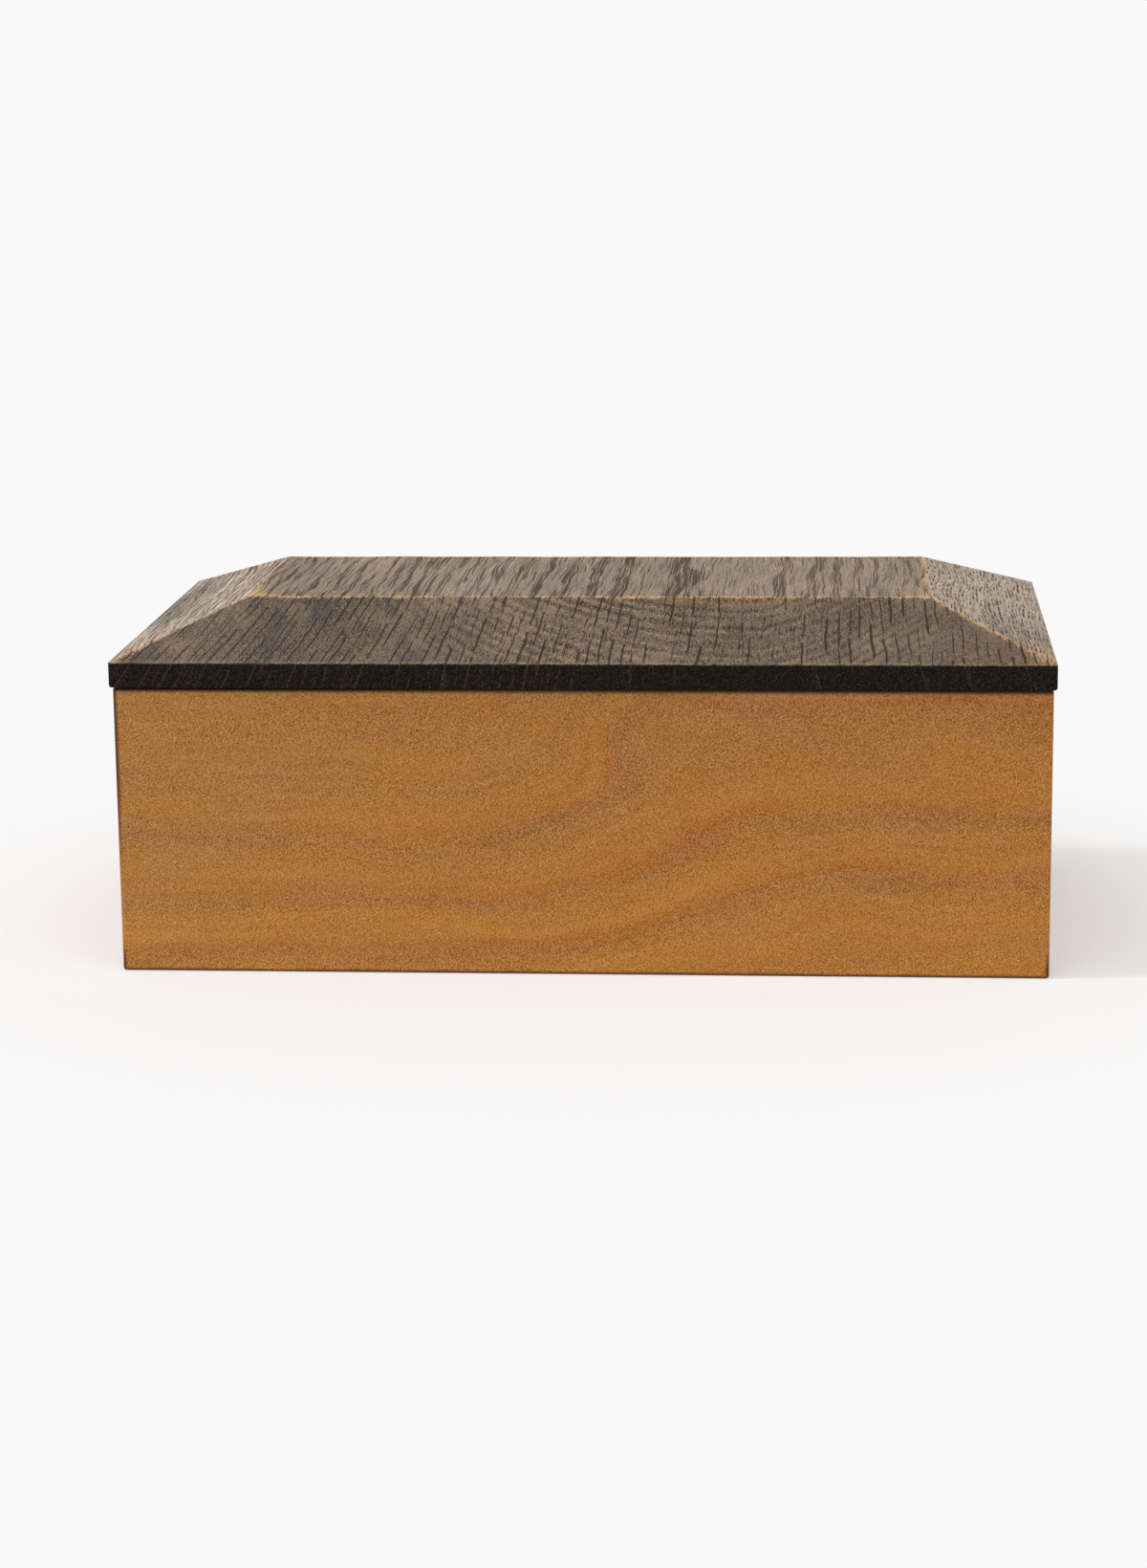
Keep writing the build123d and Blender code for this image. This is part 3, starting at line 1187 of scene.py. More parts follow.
@dataclass(frozen=True, kw_only=True)
class Beech(Finish):
    """Bare planed beech for the hidden tongues: pale, with short dark rays."""

    shine: float = 0.3
    pale: Colour = srgb(214, 178, 138)
    deep: Colour = srgb(192, 152, 110)
    ray: Colour = srgb(146, 100, 66)

    def build(self) -> Material:
        """Makes the material.

        Returns:
            The material.
        """
        material, graph, shader = self.start()
        x, y, z = graph.split(self.millimetres(graph))
        tone = graph.group("growth_rings", height=x + y * 0.4, spacing=2.2, shift=0.3, uneven=0.5)["Share"]
        grain = graph.vector(z, x, y)
        ray = graph.group("flecks", place=grain, length=2.4, width=0.35, cover=0.62, soft=0.05)["Mask"]
        colour = graph.blend(ray * 0.6, graph.blend(tone, self.pale, self.deep), self.ray)
        self.feed(graph, shader, colour, 0.6 + ray * 0.1, tone * 0.4 - ray * 0.4)
        return material


@dataclass(frozen=True, kw_only=True)
class ScrewBrass(Finish):
    """Turned brass, dulled by handling."""

    shine: float = 0.5
    relief: float = 0.01
    bright: Colour = srgb(214, 178, 104)
    dull: Colour = srgb(140, 104, 52)

    def build(self) -> Material:
        """Makes the material.

        Returns:
            The material.
        """
        material, graph, shader = self.start()
        shader.inputs["Metallic"].default_value = 1.0
        place = self.millimetres(graph)
        marks = graph.group("flecks", place=place, length=0.5, width=0.5, cover=0.55, soft=0.12)
        stain = graph.noise(place, 0.7, 3.0)
        dulled = stain.rise(0.42, 0.7) * 0.7 + marks["Mask"] * 0.2
        colour = graph.blend(dulled, self.bright, self.dull)
        self.feed(graph, shader, colour, 0.28 + dulled * 0.25, marks["Value"])
        return material


class GeometryTree:
    """A Geometry Nodes tree with named inputs, run once on a mesh and then turned into a plain mesh."""

    def __init__(self, name: str, inputs: dict[str, tuple[str, object]]) -> None:
        """Starts the tree.

        Args:
            name: Name of the tree.
            inputs: Socket type and value of each input, by name.
        """
        self.tree = bpy.data.node_groups.new(name, "GeometryNodeTree")
        self.tree.is_modifier = True
        self.tree.interface.new_socket("Geometry", in_out="INPUT", socket_type="NodeSocketGeometry")
        self.sockets = {
            socket: self.tree.interface.new_socket(socket, in_out="INPUT", socket_type=kind)
            for socket, (kind, _) in inputs.items()
        }
        self.values = {socket: value for socket, (_, value) in inputs.items()}
        self.tree.interface.new_socket("Geometry", in_out="OUTPUT", socket_type="NodeSocketGeometry")
        self.graph = Graph(self.tree)
        self.given = self.tree.nodes.new("NodeGroupInput")
        self.out = self.tree.nodes.new("NodeGroupOutput")

    def number(self, name: str) -> Field:
        """One of the tree's number inputs."""
        return Field(self.graph, self.given.outputs[name])

    def close(self, shape: Socket) -> None:
        """Ends the tree: instances made real, and the material set.

        Args:
            shape: The finished geometry.
        """
        real = self.graph.first("GeometryNodeRealizeInstances", {"Geometry": shape})
        values = {"Geometry": real, "Material": self.given.outputs["Material"]}
        self.graph.put(self.out.inputs[0], self.graph.first("GeometryNodeSetMaterial", values))

    def run(self, name: str, start: bpy.types.Mesh) -> bpy.types.Object:
        """Runs the tree on a mesh.

        Args:
            name: Name of the piece.
            start: The mesh that goes in.

        Returns:
            The piece, a plain mesh at the origin.
        """
        maker = bpy.data.objects.new(name + "_maker", start)
        bpy.context.scene.collection.objects.link(maker)
        modifier = maker.modifiers.new(self.tree.name, "NODES")
        modifier.node_group = self.tree
        for socket, value in self.values.items():
            modifier[self.sockets[socket].identifier] = value
        bpy.context.view_layer.update()
        evaluated = maker.evaluated_get(bpy.context.evaluated_depsgraph_get())
        mesh = bpy.data.meshes.new_from_object(evaluated)
        maker.modifiers.remove(modifier)
        bpy.data.objects.remove(maker)
        bpy.data.meshes.remove(start)
        mesh.name = name
        piece = bpy.data.objects.new(name, mesh)
        bpy.context.scene.collection.objects.link(piece)
        return piece


def screw_spots(graph: Graph, columns: Operand, rows: Operand) -> Socket:
    """The places of the screws, as the points of a grid.

    Args:
        graph: Where the node goes.
        columns: Distance between the outer screws of a batten.
        rows: Distance between the rows of the two battens.

    Returns:
        The grid.
    """
    values = {"Size X": columns, "Size Y": rows, "Vertices X": SCREWS_PER_BATTEN, "Vertices Y": BATTENS}
    return graph.first("GeometryNodeMeshGrid", values)


def chain_mesh(name: str, points: list[Vector]) -> bpy.types.Mesh:
    """A mesh of points joined in a row.

    Args:
        name: Name of the mesh.
        points: The points.

    Returns:
        The mesh.
    """
    mesh = bpy.data.meshes.new(name)
    mesh.from_pydata(points, [(i, i + 1) for i in range(len(points) - 1)], [])
    return mesh


@dataclass
class BoxBody:
    """The four mitred walls, the floor panel, the tongues and the battens. Sizes in metres."""

    width: float
    depth: float
    height: float
    wall: float

    @classmethod
    def from_frame(cls) -> "BoxBody":
        """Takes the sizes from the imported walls.

        Returns:
            The box body.
        """
        low, front_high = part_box("front_wall")
        _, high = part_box("back_wall")
        return cls(high.x - low.x, high.y - low.y, high.z - low.z, front_high.y - low.y)

    def wood(self, name: str, lie: Lie, shift: Triple, **figure: float) -> Material:
        """One board's own fruitwood.

        Args:
            name: Name of the material.
            lie: How the board lies.
            shift: Where in the tree the board was cut, in millimetres.
            figure: How the bands differ on this board.

        Returns:
            The material.
        """
        body = (self.width / MM, self.depth / MM, self.height / MM)
        return Fruitwood(name=name, lie=lie, shift=shift, body=body, wall=self.wall / MM, **figure).build()

    def dress(self) -> dict[str, Material]:
        """Gives each board its wood.

        Returns:
            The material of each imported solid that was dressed, by its name.
        """
        half_width, half_depth = self.width / MM / 2, self.depth / MM / 2
        front, side, flat = Lie.FRONT_TO_VIEW, Lie.SIDE_TO_VIEW, Lie.FLAT
        woods = {
            "front_wall": self.wood("fruitwood_front", front, (0, half_depth, 0)),
            "back_wall": self.wood(
                "fruitwood_back", front, (31, -half_depth, 0), lift=-9.0, phase=0.4, seed=3.3
            ),
            "left_wall": self.wood(
                "fruitwood_left", side, (-40, -half_width, 0), lift=6.0, spacing=12.5, seed=5.1
            ),
            "right_wall": self.wood(
                "fruitwood_right", side, (50, half_width, 0), lift=-6.0, spacing=17.0, seed=7.9
            ),
            "floor_panel": self.wood(
                "fruitwood_floor", flat, (12, 4, 40), spacing=21.0, quiet_above=200.0, seed=9.2
            ),
            "lid_batten_front": self.wood(
                "fruitwood_batten_front", flat, (60, 72, 46), lift=2.0, spacing=6.0, seed=11.0
            ),
            "lid_batten_back": self.wood(
                "fruitwood_batten_back", flat, (-30, 72, -46), lift=3.0, spacing=7.0, seed=13.0
            ),
        }
        beech = Beech(name="tongue_beech").build()
        woods |= {node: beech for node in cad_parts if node.startswith("corner_tongue")}
        for node, material in woods.items():
            dress_node(node, material)
        return woods


def dress_node(node: str, material: Material) -> None:
    """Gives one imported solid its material.

    Args:
        node: Name of the solid.
        material: Its material.
    """
    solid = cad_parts[node]
    if not solid.material_slots:
        solid.data.materials.append(material)
    for slot in solid.material_slots:
        slot.material = material


@dataclass
class HippedLid:
    """The lid board: a square rim, four bevels and a flat field, with worn arrises. Sizes in metres.

    Attributes:
        width: Outside width.
        depth: Outside depth.
        bottom: Level of the underside.
        top: Level of the field.
        rim: Height of the square rim.
        bevel: Width of a bevel, measured level.
        lower_round: Round of the lower arris.
        rim_round: Round between the rim and the bevels.
        field_round: Round between the bevels and the field.
        corner_round: Round of the upright corners.
        round_steps: Steps in each round of the section.
        corner_steps: Steps round an upright corner.
        side_steps: Steps along a side.
        bevel_rows: Rows of points up the bevel, as shares of its width.
        weld: Distance within which points are joined.
        pilot: Width of a pilot hole.
        pilot_depth: Depth of a pilot hole.
        pilot_sides: Sides of a pilot hole.
        wear: Deepest wear.
        wear_patches: Patches of wear in a metre.
        wear_fade: Distances from the field's edge over which the wear fades out, in its rounds.
        lower_flat: Flat that the section starts with, in rounds of the lower arris.
        upper_flat: Flat beside each upper round, in its radii.
    """

    width: float
    depth: float
    bottom: float
    top: float
    rim: float = 6.4 * MM
    bevel: float = 30.4 * MM
    lower_round: float = 0.7 * MM
    rim_round: float = 0.35 * MM
    field_round: float = 1.2 * MM
    corner_round: float = 0.7 * MM
    round_steps: int = 4
    corner_steps: int = 5
    side_steps: int = 72
    bevel_rows: tuple[float, ...] = (0.03, 0.2, 0.4, 0.6, 0.8, 0.95)
    weld: float = 0.001 * MM
    pilot: float = 2.9 * MM
    pilot_depth: float = 7.1 * MM
    pilot_sides: int = 24
    wear: float = 0.12 * MM
    wear_patches: float = 70.0
    wear_fade: Span = (0.4, 2.0)
    lower_flat: float = 2.5
    upper_flat: float = 3.0

    @classmethod
    def from_frame(cls) -> "HippedLid":
        """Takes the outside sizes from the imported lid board.

        Returns:
            The lid.
        """
        low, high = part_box("lid_board")
        return cls(high.x - low.x, high.y - low.y, low.z, high.z)

    def profile(self) -> list[Vector]:
        """The section of the lid from its underside to its field: X is the inset, Z the level.

        Returns:
            The points of the section.
        """
        rim_top = self.bottom + self.rim
        slope = math.atan2(self.top - rim_top, self.bevel)
        points = [Vector((self.lower_flat * self.lower_round, 0, self.bottom))]
        for step in range(self.round_steps + 1):
            turn = step / self.round_steps * QUARTER_TURN
            inset = self.lower_round * (1 - math.sin(turn))
            points.append(Vector((inset, 0, self.bottom + self.lower_round * (1 - math.cos(turn)))))
        points.append(Vector((0, 0, rim_top - self.upper_flat * self.rim_round)))
        points += self.soften(Vector((0, 0, rim_top)), QUARTER_TURN, slope, self.rim_round)
        for share in self.bevel_rows:
            points.append(Vector((self.bevel * share, 0, rim_top + self.bevel * share * math.tan(slope))))
        points += self.soften(Vector((self.bevel, 0, self.top)), slope, 0.0, self.field_round)
        points.append(Vector((self.bevel + self.upper_flat * self.field_round, 0, self.top)))
        return points

    def soften(self, corner: Vector, before: float, after: float, radius: float) -> list[Vector]:
        """Rounds one corner of a section.

        Args:
            corner: The sharp corner.
            before: Angle of the line that comes in, from the horizontal.
            after: Angle of the line that goes out.
            radius: Radius of the round.

        Returns:
            Points along the round.
        """
        cut = radius * math.tan((before - after) / 2)
        start = corner - cut * Vector((math.cos(before), 0, math.sin(before)))
        centre = start + radius * Vector((math.sin(before), 0, -math.cos(before)))
        steps = self.round_steps
        angles = [before + (after - before) * step / steps for step in range(steps + 1)]
        return [centre + radius * Vector((-math.sin(angle), 0, math.cos(angle))) for angle in angles]

    def outline(self, tree: GeometryTree, index: Field, inset: Field, level: Field) -> Socket:
        """Where a point of a ring lies: a rectangle with rounded corners, drawn in by an inset.

        Args:
            tree: The tree that it goes into.
            index: Number of the point in its ring.
            inset: How far the ring is drawn in.
            level: Height of the ring.

        Returns:
            The position.
        """
        graph = tree.graph
        steps = tree.number("Corner Steps")
        side_steps = tree.number("Side Steps")
        run = steps + side_steps
        quarter = (index / run).whole()
        place = index - quarter * run
        angle = (quarter + (place / steps).smaller(1.0)) * QUARTER_TURN
        share = ((place - steps) / side_steps).larger(0.0)
        share = 0.5 - 0.5 * graph.math("COSINE", share * math.pi)
        here = quarter * QUARTER_TURN + QUARTER_TURN / 2
        there = here + QUARTER_TURN
        radius = tree.number("Corner Radius")
        axes = []
        for name, wave in (("Width", "COSINE"), ("Depth", "SINE")):
            first = graph.math("SIGN", graph.math(wave, here))
            second = graph.math("SIGN", graph.math(wave, there))
            core = tree.number(name) * 0.5 - radius - inset
            axes.append(core * (first + (second - first) * share) + radius * graph.math(wave, angle))
        return graph.vector(axes[0], axes[1], level)

    def tree(self, material: Material, columns: float, rows: float) -> GeometryTree:
        """The tree that runs the section round the lid, closes it and bores the pilot holes.

        Args:
            material: The lid's material.
            columns: Distance between the outer screws along the lid.
            rows: Distance between the two rows of screws.

        Returns:
            The tree.
        """
        number, whole = "NodeSocketFloat", "NodeSocketInt"
        tree = GeometryTree(
            "hipped_lid",
            {
                "Width": (number, self.width),
                "Depth": (number, self.depth),
                "Corner Radius": (number, self.corner_round),
                "Corner Steps": (whole, self.corner_steps),
                "Side Steps": (whole, self.side_steps),
                "Wear": (number, self.wear),
                "Material": ("NodeSocketMaterial", material),
            },
        )
        graph = tree.graph
        section = tree.given.outputs["Geometry"]
        count = graph.add("GeometryNodeAttributeDomainSize", {"Geometry": section})
        section_points = count.outputs["Point Count"]
        ring_points = (tree.number("Corner Steps") + tree.number("Side Steps")) * 4.0
        index = Field(graph, graph.first("GeometryNodeInputIndex"))
        place = graph.first("GeometryNodeInputPosition")

        def section_at(row: Field) -> tuple[Field, Field]:
            """Inset and level of one row of the section."""
            values = {"Geometry": section, "Value": place, "Index": row}
            picked = graph.first("GeometryNodeSampleIndex", values, data_type="FLOAT_VECTOR")
            inset, _, level = graph.split(picked)
            return inset, level

        def laid(shape: Socket, spot: Field, row: Field) -> Socket:
            """Lays the points of a sheet on the outline of a row."""
            position = self.outline(tree, spot, *section_at(row))
            return graph.first("GeometryNodeSetPosition", {"Geometry": shape, "Position": position})

        def flipped(shape: Socket) -> Socket:
            """Turns the faces of a sheet over."""
            return graph.first("GeometryNodeFlipFaces", {"Mesh": shape})

        lap = ring_points + 1.0
        skin = graph.first("GeometryNodeMeshGrid", {"Vertices X": section_points, "Vertices Y": lap})
        row = (index / lap).whole()
        spot = index - row * lap
        spot = spot - (spot / ring_points).whole() * ring_points
        disc = {"Vertices": ring_points, "Radius": 1.0}
        top = graph.first("GeometryNodeMeshCircle", disc, fill_type="NGON")
        underside = graph.first("GeometryNodeMeshCircle", disc, fill_type="NGON")
        last = Field(graph, section_points) - 1.0
        shapes = [
            flipped(laid(skin, spot, row)),
            laid(top, index, last),
            flipped(laid(underside, index, last * 0.0)),
        ]
        joined = graph.add("GeometryNodeJoinGeometry")
        for shape in reversed(shapes):
            graph.put(joined.inputs[0], shape)
        values = {"Geometry": joined.outputs[0], "Distance": self.weld}
        worn = self.worn(tree, graph.first("GeometryNodeMergeByDistance", values), place)
        tree.close(self.bored(tree, worn, columns, rows))
        return tree

    def worn(self, tree: GeometryTree, shape: Socket, place: Socket) -> Socket:
        """Rubs the upper arrises down unevenly, and shades the skin smooth.

        Args:
            tree: The tree that it goes into.
            shape: The closed lid.
            place: Position of each point.

        Returns:
            The worn lid.
        """
        graph = tree.graph
        normal = graph.first("GeometryNodeInputNormal")
        x, y, z = graph.split(place)
        out = (abs(x) - (self.width / 2 - self.bevel)).larger(abs(y) - (self.depth / 2 - self.bevel))
        worn_to, whole_from = (rounds * self.field_round for rounds in self.wear_fade)
        near_field = 1.0 - abs(out).rise(worn_to, whole_from)
        above = z.rise(self.bottom + self.rim - self.rim_round, self.bottom + self.rim)
        patches = graph.noise(place, self.wear_patches, 2.0).rise(0.35, 0.7)
        depth = tree.number("Wear") * patches * near_field * above
        sunk = graph.scale(normal, depth * -1.0)
        moved = graph.first("GeometryNodeSetPosition", {"Geometry": shape, "Offset": sunk})
        return graph.first("GeometryNodeSetShadeSmooth", {"Geometry": moved, "Shade Smooth": True})

    def bored(self, tree: GeometryTree, shape: Socket, columns: float, rows: float) -> Socket:
        """Bores the pilot holes into the underside.

        Args:
            tree: The tree that it goes into.
            shape: The lid.
            columns: Distance between the outer holes along the lid.
            rows: Distance between the two rows.

        Returns:
            The bored lid.
        """
        graph = tree.graph
        bit = {"Vertices": self.pilot_sides, "Radius": self.pilot / 2, "Depth": 2 * self.pilot_depth}
        drill = graph.first("GeometryNodeMeshCylinder", bit)
        spots = screw_spots(graph, columns, rows)
        drills = graph.first("GeometryNodeInstanceOnPoints", {"Points": spots, "Instance": drill})
        raised = {"Geometry": drills, "Translation": (0, 0, self.bottom)}
        lifted = graph.first("GeometryNodeTransform", raised)
        real = graph.first("GeometryNodeRealizeInstances", {"Geometry": lifted})
        return graph.first("GeometryNodeMeshBoolean", {0: shape, 1: real}, operation="DIFFERENCE")

    def build(self, columns: float, rows: float) -> bpy.types.Object:
        """Builds and dresses the lid board.

        Args:
            columns: Distance between the outer screws along the lid.
            rows: Distance between the two rows of screws.

        Returns:
            The lid board.
        """
        oak = SmokedOak(
            name="smoked_oak",
            half_width=self.width / MM / 2,
            half_depth=self.depth / MM / 2,
            bevel=self.bevel / MM,
            rim_top=(self.bottom + self.rim) / MM,
        ).build()
        section = chain_mesh("lid_section", self.profile())
        board = self.tree(oak, columns, rows).run("hipped_lid_board", section)
        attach(board, "lid")
        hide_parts("lid_board")
        return board


@dataclass
class BattenScrews:
    """Six slotted round-headed screws, driven up through the battens into the lid. Sizes in metres.

    Attributes:
        columns: Distance between the outer screws of a batten.
        rows: Distance between the two rows of screws.
        crown: Level of the lowest point of the heads.
        tip: Level of the points.
        head: Width of a head.
        head_height: Height of a head.
        slot_width: Width of the driver slot.
        slot_depth: Depth of the driver slot.
        shank: Width over the thread.
        core: Width between the threads.
        pitch: Rise of the thread in one turn.
        ridge: Half the width of the thread at its root, in pitches.
        plain: Length of the shank below the thread.
        point: Length of the point.
        blunt: Share of the width that is left at the very point.
        segments: Sides of a screw.
        head_rings: Rings of points up a head.
        rings_per_pitch: Rings of points in one turn of the thread.
        cutter: Length of the slot's cutter, in heads.
        turn_seed: Draws the turns of the slots.
    """

    columns: float
    rows: float
    crown: float
    tip: float
    head: float = 5.4 * MM
    head_height: float = 1.9 * MM
    slot_width: float = 0.8 * MM
    slot_depth: float = 0.9 * MM
    shank: float = 2.8 * MM
    core: float = 2.0 * MM
    pitch: float = 1.2 * MM
    ridge: float = 0.25
    plain: float = 2.6 * MM
    point: float = 3.0 * MM
    blunt: float = 0.02
    segments: int = 28
    head_rings: int = 10
    rings_per_pitch: int = 8
    cutter: float = 1.2
    turn_seed: int = 7

    @classmethod
    def from_frame(cls) -> "BattenScrews":
        """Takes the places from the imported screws.

        Returns:
            The screws.
        """
        low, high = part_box("batten_screw_front_left")
        far_low, far_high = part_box("batten_screw_back_right")
        spread = (far_low + far_high - low - high) / 2
        return cls(spread.x, spread.y, low.z, high.z)

    def radius_at(self, height: float, turn: float) -> float:
        """Radius of the shank at a height above the seat.

        Args:
            height: Height above the seat.
            turn: Share of a full turn round the screw.

        Returns:
            The radius, with the thread and the point.
        """
        length = self.tip - self.seat()
        taper = min(1.0, (length - height) / self.point)
        if height < self.plain:
            return self.shank / 2
        phase = (height / self.pitch - turn) % 1.0
        ridge = max(0.0, 1 - abs(phase - 0.5) / self.ridge)
        return max(taper, self.blunt) * (self.core / 2 + (self.shank - self.core) / 2 * ridge)

    def seat(self) -> float:
        """Level of the flat side of the head, which bears on the batten."""
        return self.crown + self.head_height

    def lathe(self) -> bpy.types.Mesh:
        """Turns one screw on its axis, head down, its seat at the level of the origin.

        Returns:
            The mesh.
        """
        radius = self.head / 2
        dome = (radius**2 + self.head_height**2) / (2 * self.head_height)
        sweep = math.asin(radius / dome)
        shares = [i / self.segments for i in range(self.segments)]
        rings = []
        for step in range(1, self.head_rings + 1):
            angle = sweep * step / self.head_rings
            level = dome * (1 - math.cos(angle)) - self.head_height
            rings.append((level, [dome * math.sin(angle)] * self.segments))
        rings.append((0.0, [self.shank / 2] * self.segments))
        length = self.tip - self.seat()
        rows = int(length / self.pitch * self.rings_per_pitch)
        for row in range(1, rows):
            height = length * row / rows
            rings.append((height, [self.radius_at(height, share) for share in shares]))
        shape = bmesh.new()
        low = shape.verts.new((0, 0, -self.head_height))
        high = shape.verts.new((0, 0, length))
        ways = [(math.cos(math.tau * share), math.sin(math.tau * share)) for share in shares]
        loops = [
            [shape.verts.new((radius * x, radius * y, level)) for (x, y), radius in zip(ways, radii)]
            for level, radii in rings
        ]
        for i in range(self.segments):
            j = (i + 1) % self.segments
            shape.faces.new((low, loops[0][j], loops[0][i]))
            for below, above in zip(loops, loops[1:]):
                shape.faces.new((below[i], below[j], above[j], above[i]))
            shape.faces.new((loops[-1][i], loops[-1][j], high))
        bmesh.ops.recalc_face_normals(shape, faces=shape.faces)
        mesh = bpy.data.meshes.new("lathe_turned_screw")
        shape.to_mesh(mesh)
        shape.free()
        return mesh

    def tree(self, material: Material) -> GeometryTree:
        """The tree that cuts the driver slot and sets the six screws in place.

        Args:
            material: The screws' material.

        Returns:
            The tree.
        """
        number = "NodeSocketFloat"
        tree = GeometryTree(
            "batten_screws",
            {
                "Columns": (number, self.columns),
                "Rows": (number, self.rows),
                "Seat": (number, self.seat()),
                "Slot Width": (number, self.slot_width),
                "Slot Depth": (number, self.slot_depth),
                "Seed": ("NodeSocketInt", self.turn_seed),
                "Material": ("NodeSocketMaterial", material),
            },
        )
        graph = tree.graph
        deep = tree.number("Slot Depth") * 2.0
        size = graph.vector(self.head * self.cutter, tree.number("Slot Width"), deep)
        cutter = graph.first("GeometryNodeMeshCube", {"Size": size})
        at_crown = {"Geometry": cutter, "Translation": (0, 0, -self.head_height)}
        lowered = graph.first("GeometryNodeTransform", at_crown)
        pair = {0: tree.given.outputs["Geometry"], 1: lowered}
        slotted = graph.first("GeometryNodeMeshBoolean", pair, operation="DIFFERENCE")
        draw = {2: 0.0, 3: math.pi, "Seed": tree.given.outputs["Seed"]}
        turn = graph.add("FunctionNodeRandomValue", draw, data_type="FLOAT")
        turned = graph.vector(0.0, 0.0, Field(graph, turn.outputs[1]))
        spots = screw_spots(graph, tree.number("Columns"), tree.number("Rows"))
        driven = {"Points": spots, "Instance": slotted, "Rotation": turned}
        screws = graph.first("GeometryNodeInstanceOnPoints", driven)
        raised = {"Geometry": screws, "Translation": graph.vector(0.0, 0.0, tree.number("Seat"))}
        tree.close(graph.first("GeometryNodeTransform", raised))
        return tree

    def build(self) -> bpy.types.Object:
        """Builds and dresses the screws.

        Returns:
            The screws, as one piece.
        """
        brass = ScrewBrass(name="screw_brass").build()
        screws = self.tree(brass).run("batten_screws", self.lathe())
        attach(screws, "lid")
        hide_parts(*[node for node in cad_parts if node.startswith("batten_screw_")])
        return screws


@dataclass(frozen=True)
class Lamp:
    """A broad lamp far away: the direction that it stands in, its strength and its width in degrees."""

    name: str
    stands: Triple
    strength: float
    width: float

    def build(self) -> None:
        """Puts the lamp into the scene."""
        light = bpy.data.lights.new(self.name, "SUN")
        light.energy = self.strength
        light.angle = math.radians(self.width)
        lamp = bpy.data.objects.new(self.name, light)
        lamp.rotation_euler = Vector(self.stands).to_track_quat("Z", "Y").to_euler()
        bpy.context.scene.collection.objects.link(lamp)


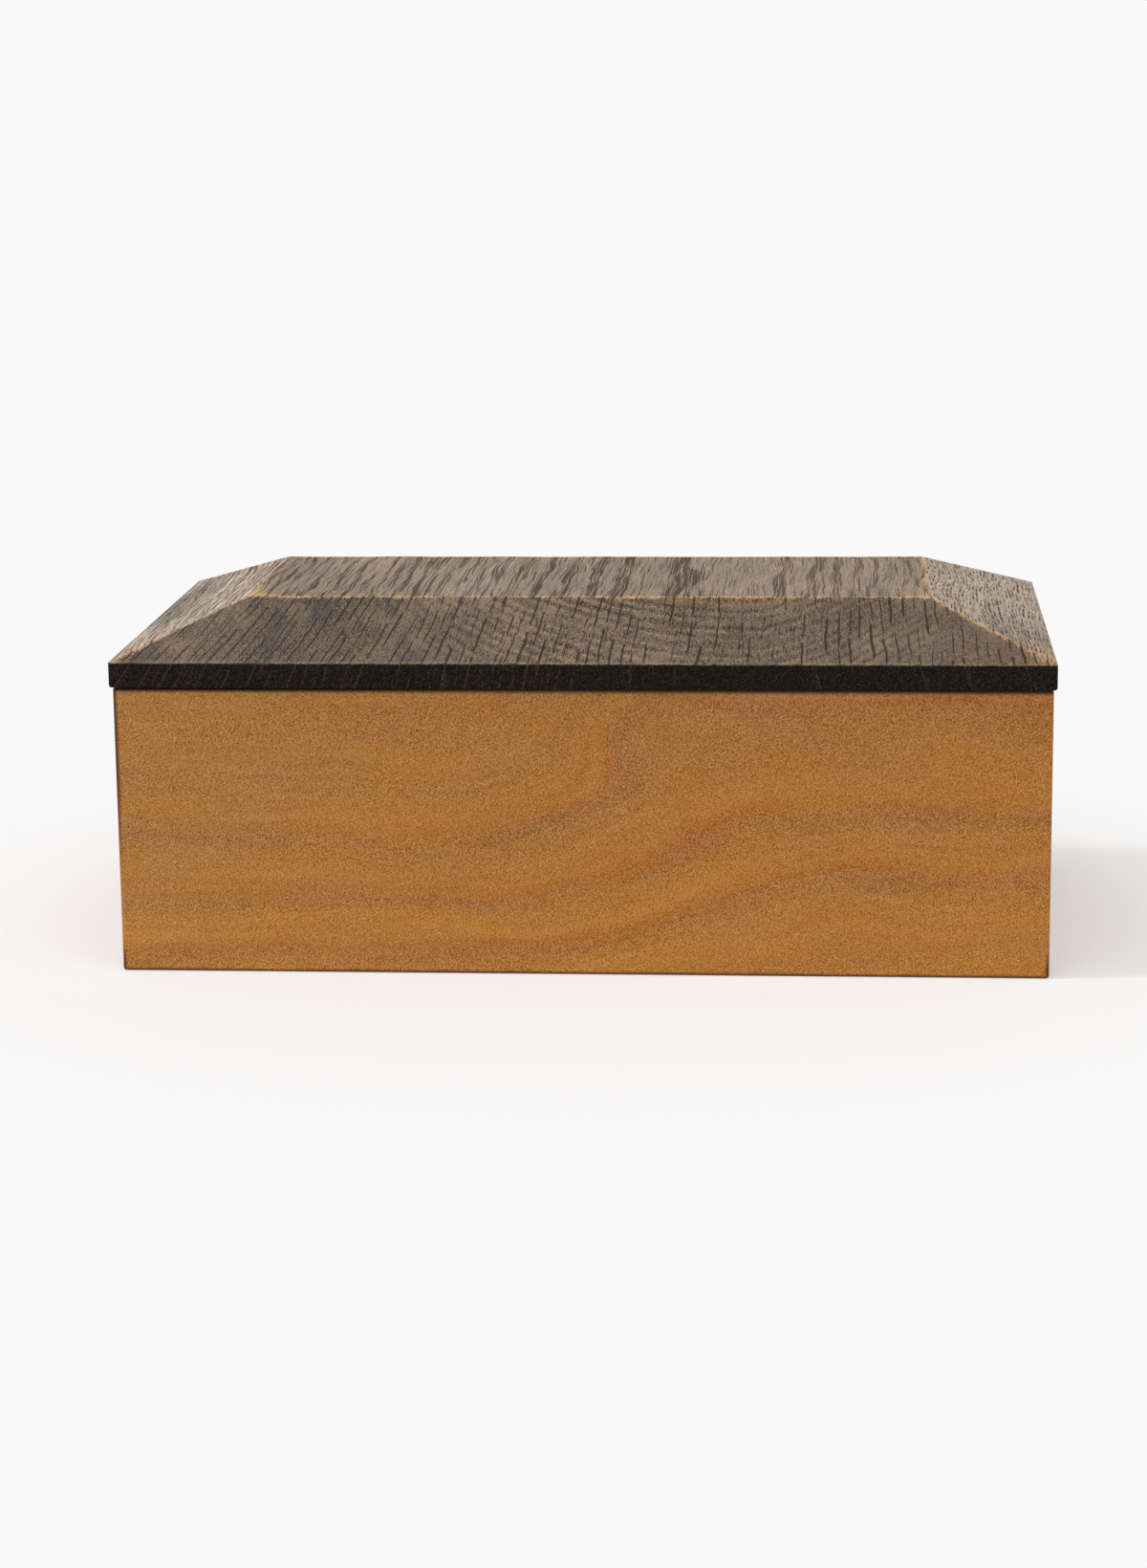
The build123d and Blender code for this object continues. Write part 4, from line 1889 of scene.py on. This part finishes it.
@dataclass(frozen=True)
class Studio:
    """A pale floor and an even white surround, lit by a lamp on the left and a broad one in front."""

    floor_size: float = 80.0
    floor_squares: int = 4
    floor_colour: Colour = (0.92, 0.92, 0.92, 1.0)
    floor_roughness: float = 0.9
    floor_white: float = 0.3
    surround: float = 0.5
    background: float = 0.95
    lamps: tuple[Lamp, ...] = (
        Lamp("left_lamp", (-0.769, -0.109, 0.629), 1.0, 9.0),
        Lamp("front_lamp", (0.0, -0.42, 0.9), 1.15, 55.0),
    )

    def build(self) -> None:
        """Makes the floor, the lamps and the surround."""
        self.floor()
        for lamp in self.lamps:
            lamp.build()
        self.world()
        bpy.context.scene.view_settings.view_transform = "Standard"

    @staticmethod
    def seen(graph: Graph) -> Field:
        """1 where the background itself is seen, straight or in a reflection, and 0 where it lights.

        Args:
            graph: Where the nodes go.

        Returns:
            The share.
        """
        path = graph.read(graph.add("ShaderNodeLightPath"))
        return path["Is Camera Ray"].larger(path["Is Glossy Ray"]).larger(path["Is Transmission Ray"])

    def floor(self) -> None:
        """A broad pale floor under the box, partly white of its own where it is seen."""
        shape = bmesh.new()
        squares = self.floor_squares
        bmesh.ops.create_grid(shape, x_segments=squares, y_segments=squares, size=self.floor_size)
        mesh = bpy.data.meshes.new("studio_floor")
        shape.to_mesh(mesh)
        shape.free()
        material = bpy.data.materials.new("pale_floor")
        material.use_nodes = True
        graph = Graph(material.node_tree)
        paper = material.node_tree.nodes["Principled BSDF"]
        paper.inputs["Base Color"].default_value = self.floor_colour
        paper.inputs["Roughness"].default_value = self.floor_roughness
        paper.inputs["Specular IOR Level"].default_value = 0.0
        white = graph.first("ShaderNodeEmission", {"Strength": self.background})
        share = self.seen(graph) * self.floor_white
        mixed = graph.first("ShaderNodeMixShader", {0: share, 1: paper.outputs[0], 2: white})
        graph.put(material.node_tree.nodes["Material Output"].inputs["Surface"], mixed)
        mesh.materials.append(material)
        floor = bpy.data.objects.new("studio_floor", mesh)
        bpy.context.scene.collection.objects.link(floor)

    def world(self) -> None:
        """An even surround that lights the box, and shows as white behind it."""
        world = bpy.data.worlds.new("white_surround")
        bpy.context.scene.world = world
        world.use_nodes = True
        graph = Graph(world.node_tree)
        shine = world.node_tree.nodes["Background"]
        shine.inputs["Color"].default_value = (1.0, 1.0, 1.0, 1.0)
        added = self.background - self.surround
        graph.put(shine.inputs["Strength"], self.surround + self.seen(graph) * added)


@dataclass(frozen=True)
class PhotoCamera:
    """The camera that took the photograph: place in metres, turns in degrees, lens in millimetres."""

    place: Triple = (0.06451, -0.91160, 0.23493)
    yaw: float = 4.445
    pitch: float = 12.356
    roll: float = 0.646
    lens: float = 81.75
    sensor: float = 36.0
    nearest: float = 0.05
    farthest: float = 500.0

    def build(self) -> None:
        """Sets up the camera and makes it the scene's own."""
        data = bpy.data.cameras.new("photo_camera")
        data.lens = self.lens
        data.sensor_width = self.sensor
        data.clip_start = self.nearest
        data.clip_end = self.farthest
        camera = bpy.data.objects.new("photo_camera", data)
        turn = (
            Matrix.Rotation(math.radians(self.yaw), 4, "Z")
            @ Matrix.Rotation(math.radians(-self.pitch), 4, "X")
            @ Matrix.Rotation(math.radians(self.roll), 4, "Y")
            @ Matrix.Rotation(QUARTER_TURN, 4, "X")
        )
        camera.matrix_world = Matrix.Translation(self.place) @ turn
        bpy.context.scene.collection.objects.link(camera)
        bpy.context.scene.camera = camera


def plain(bounds: tuple[Vector, Vector]) -> list[list[float]]:
    """Two corners as plain lists of numbers."""
    return [list(corner) for corner in bounds]


def main() -> None:
    """Builds the box from its frame outwards, and logs the dressed solids and the built pieces' faces."""
    logging.basicConfig(level=logging.INFO, format="%(name)s: %(message)s")
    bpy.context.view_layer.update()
    GroupMaker.growth_rings()
    GroupMaker.flecks()
    GroupMaker.ragged_arris_band()
    for node, material in BoxBody.from_frame().dress().items():
        LOG.info("dressed %s in %s", node, material.name)
    screws = BattenScrews.from_frame()
    lid = HippedLid.from_frame()
    for piece in (screws.build(), lid.build(screws.columns, screws.rows)):
        LOG.info("built %s: %d faces", piece.name, len(piece.data.polygons))
    Studio().build()
    PhotoCamera().build()


if __name__ == "__main__":
    main()
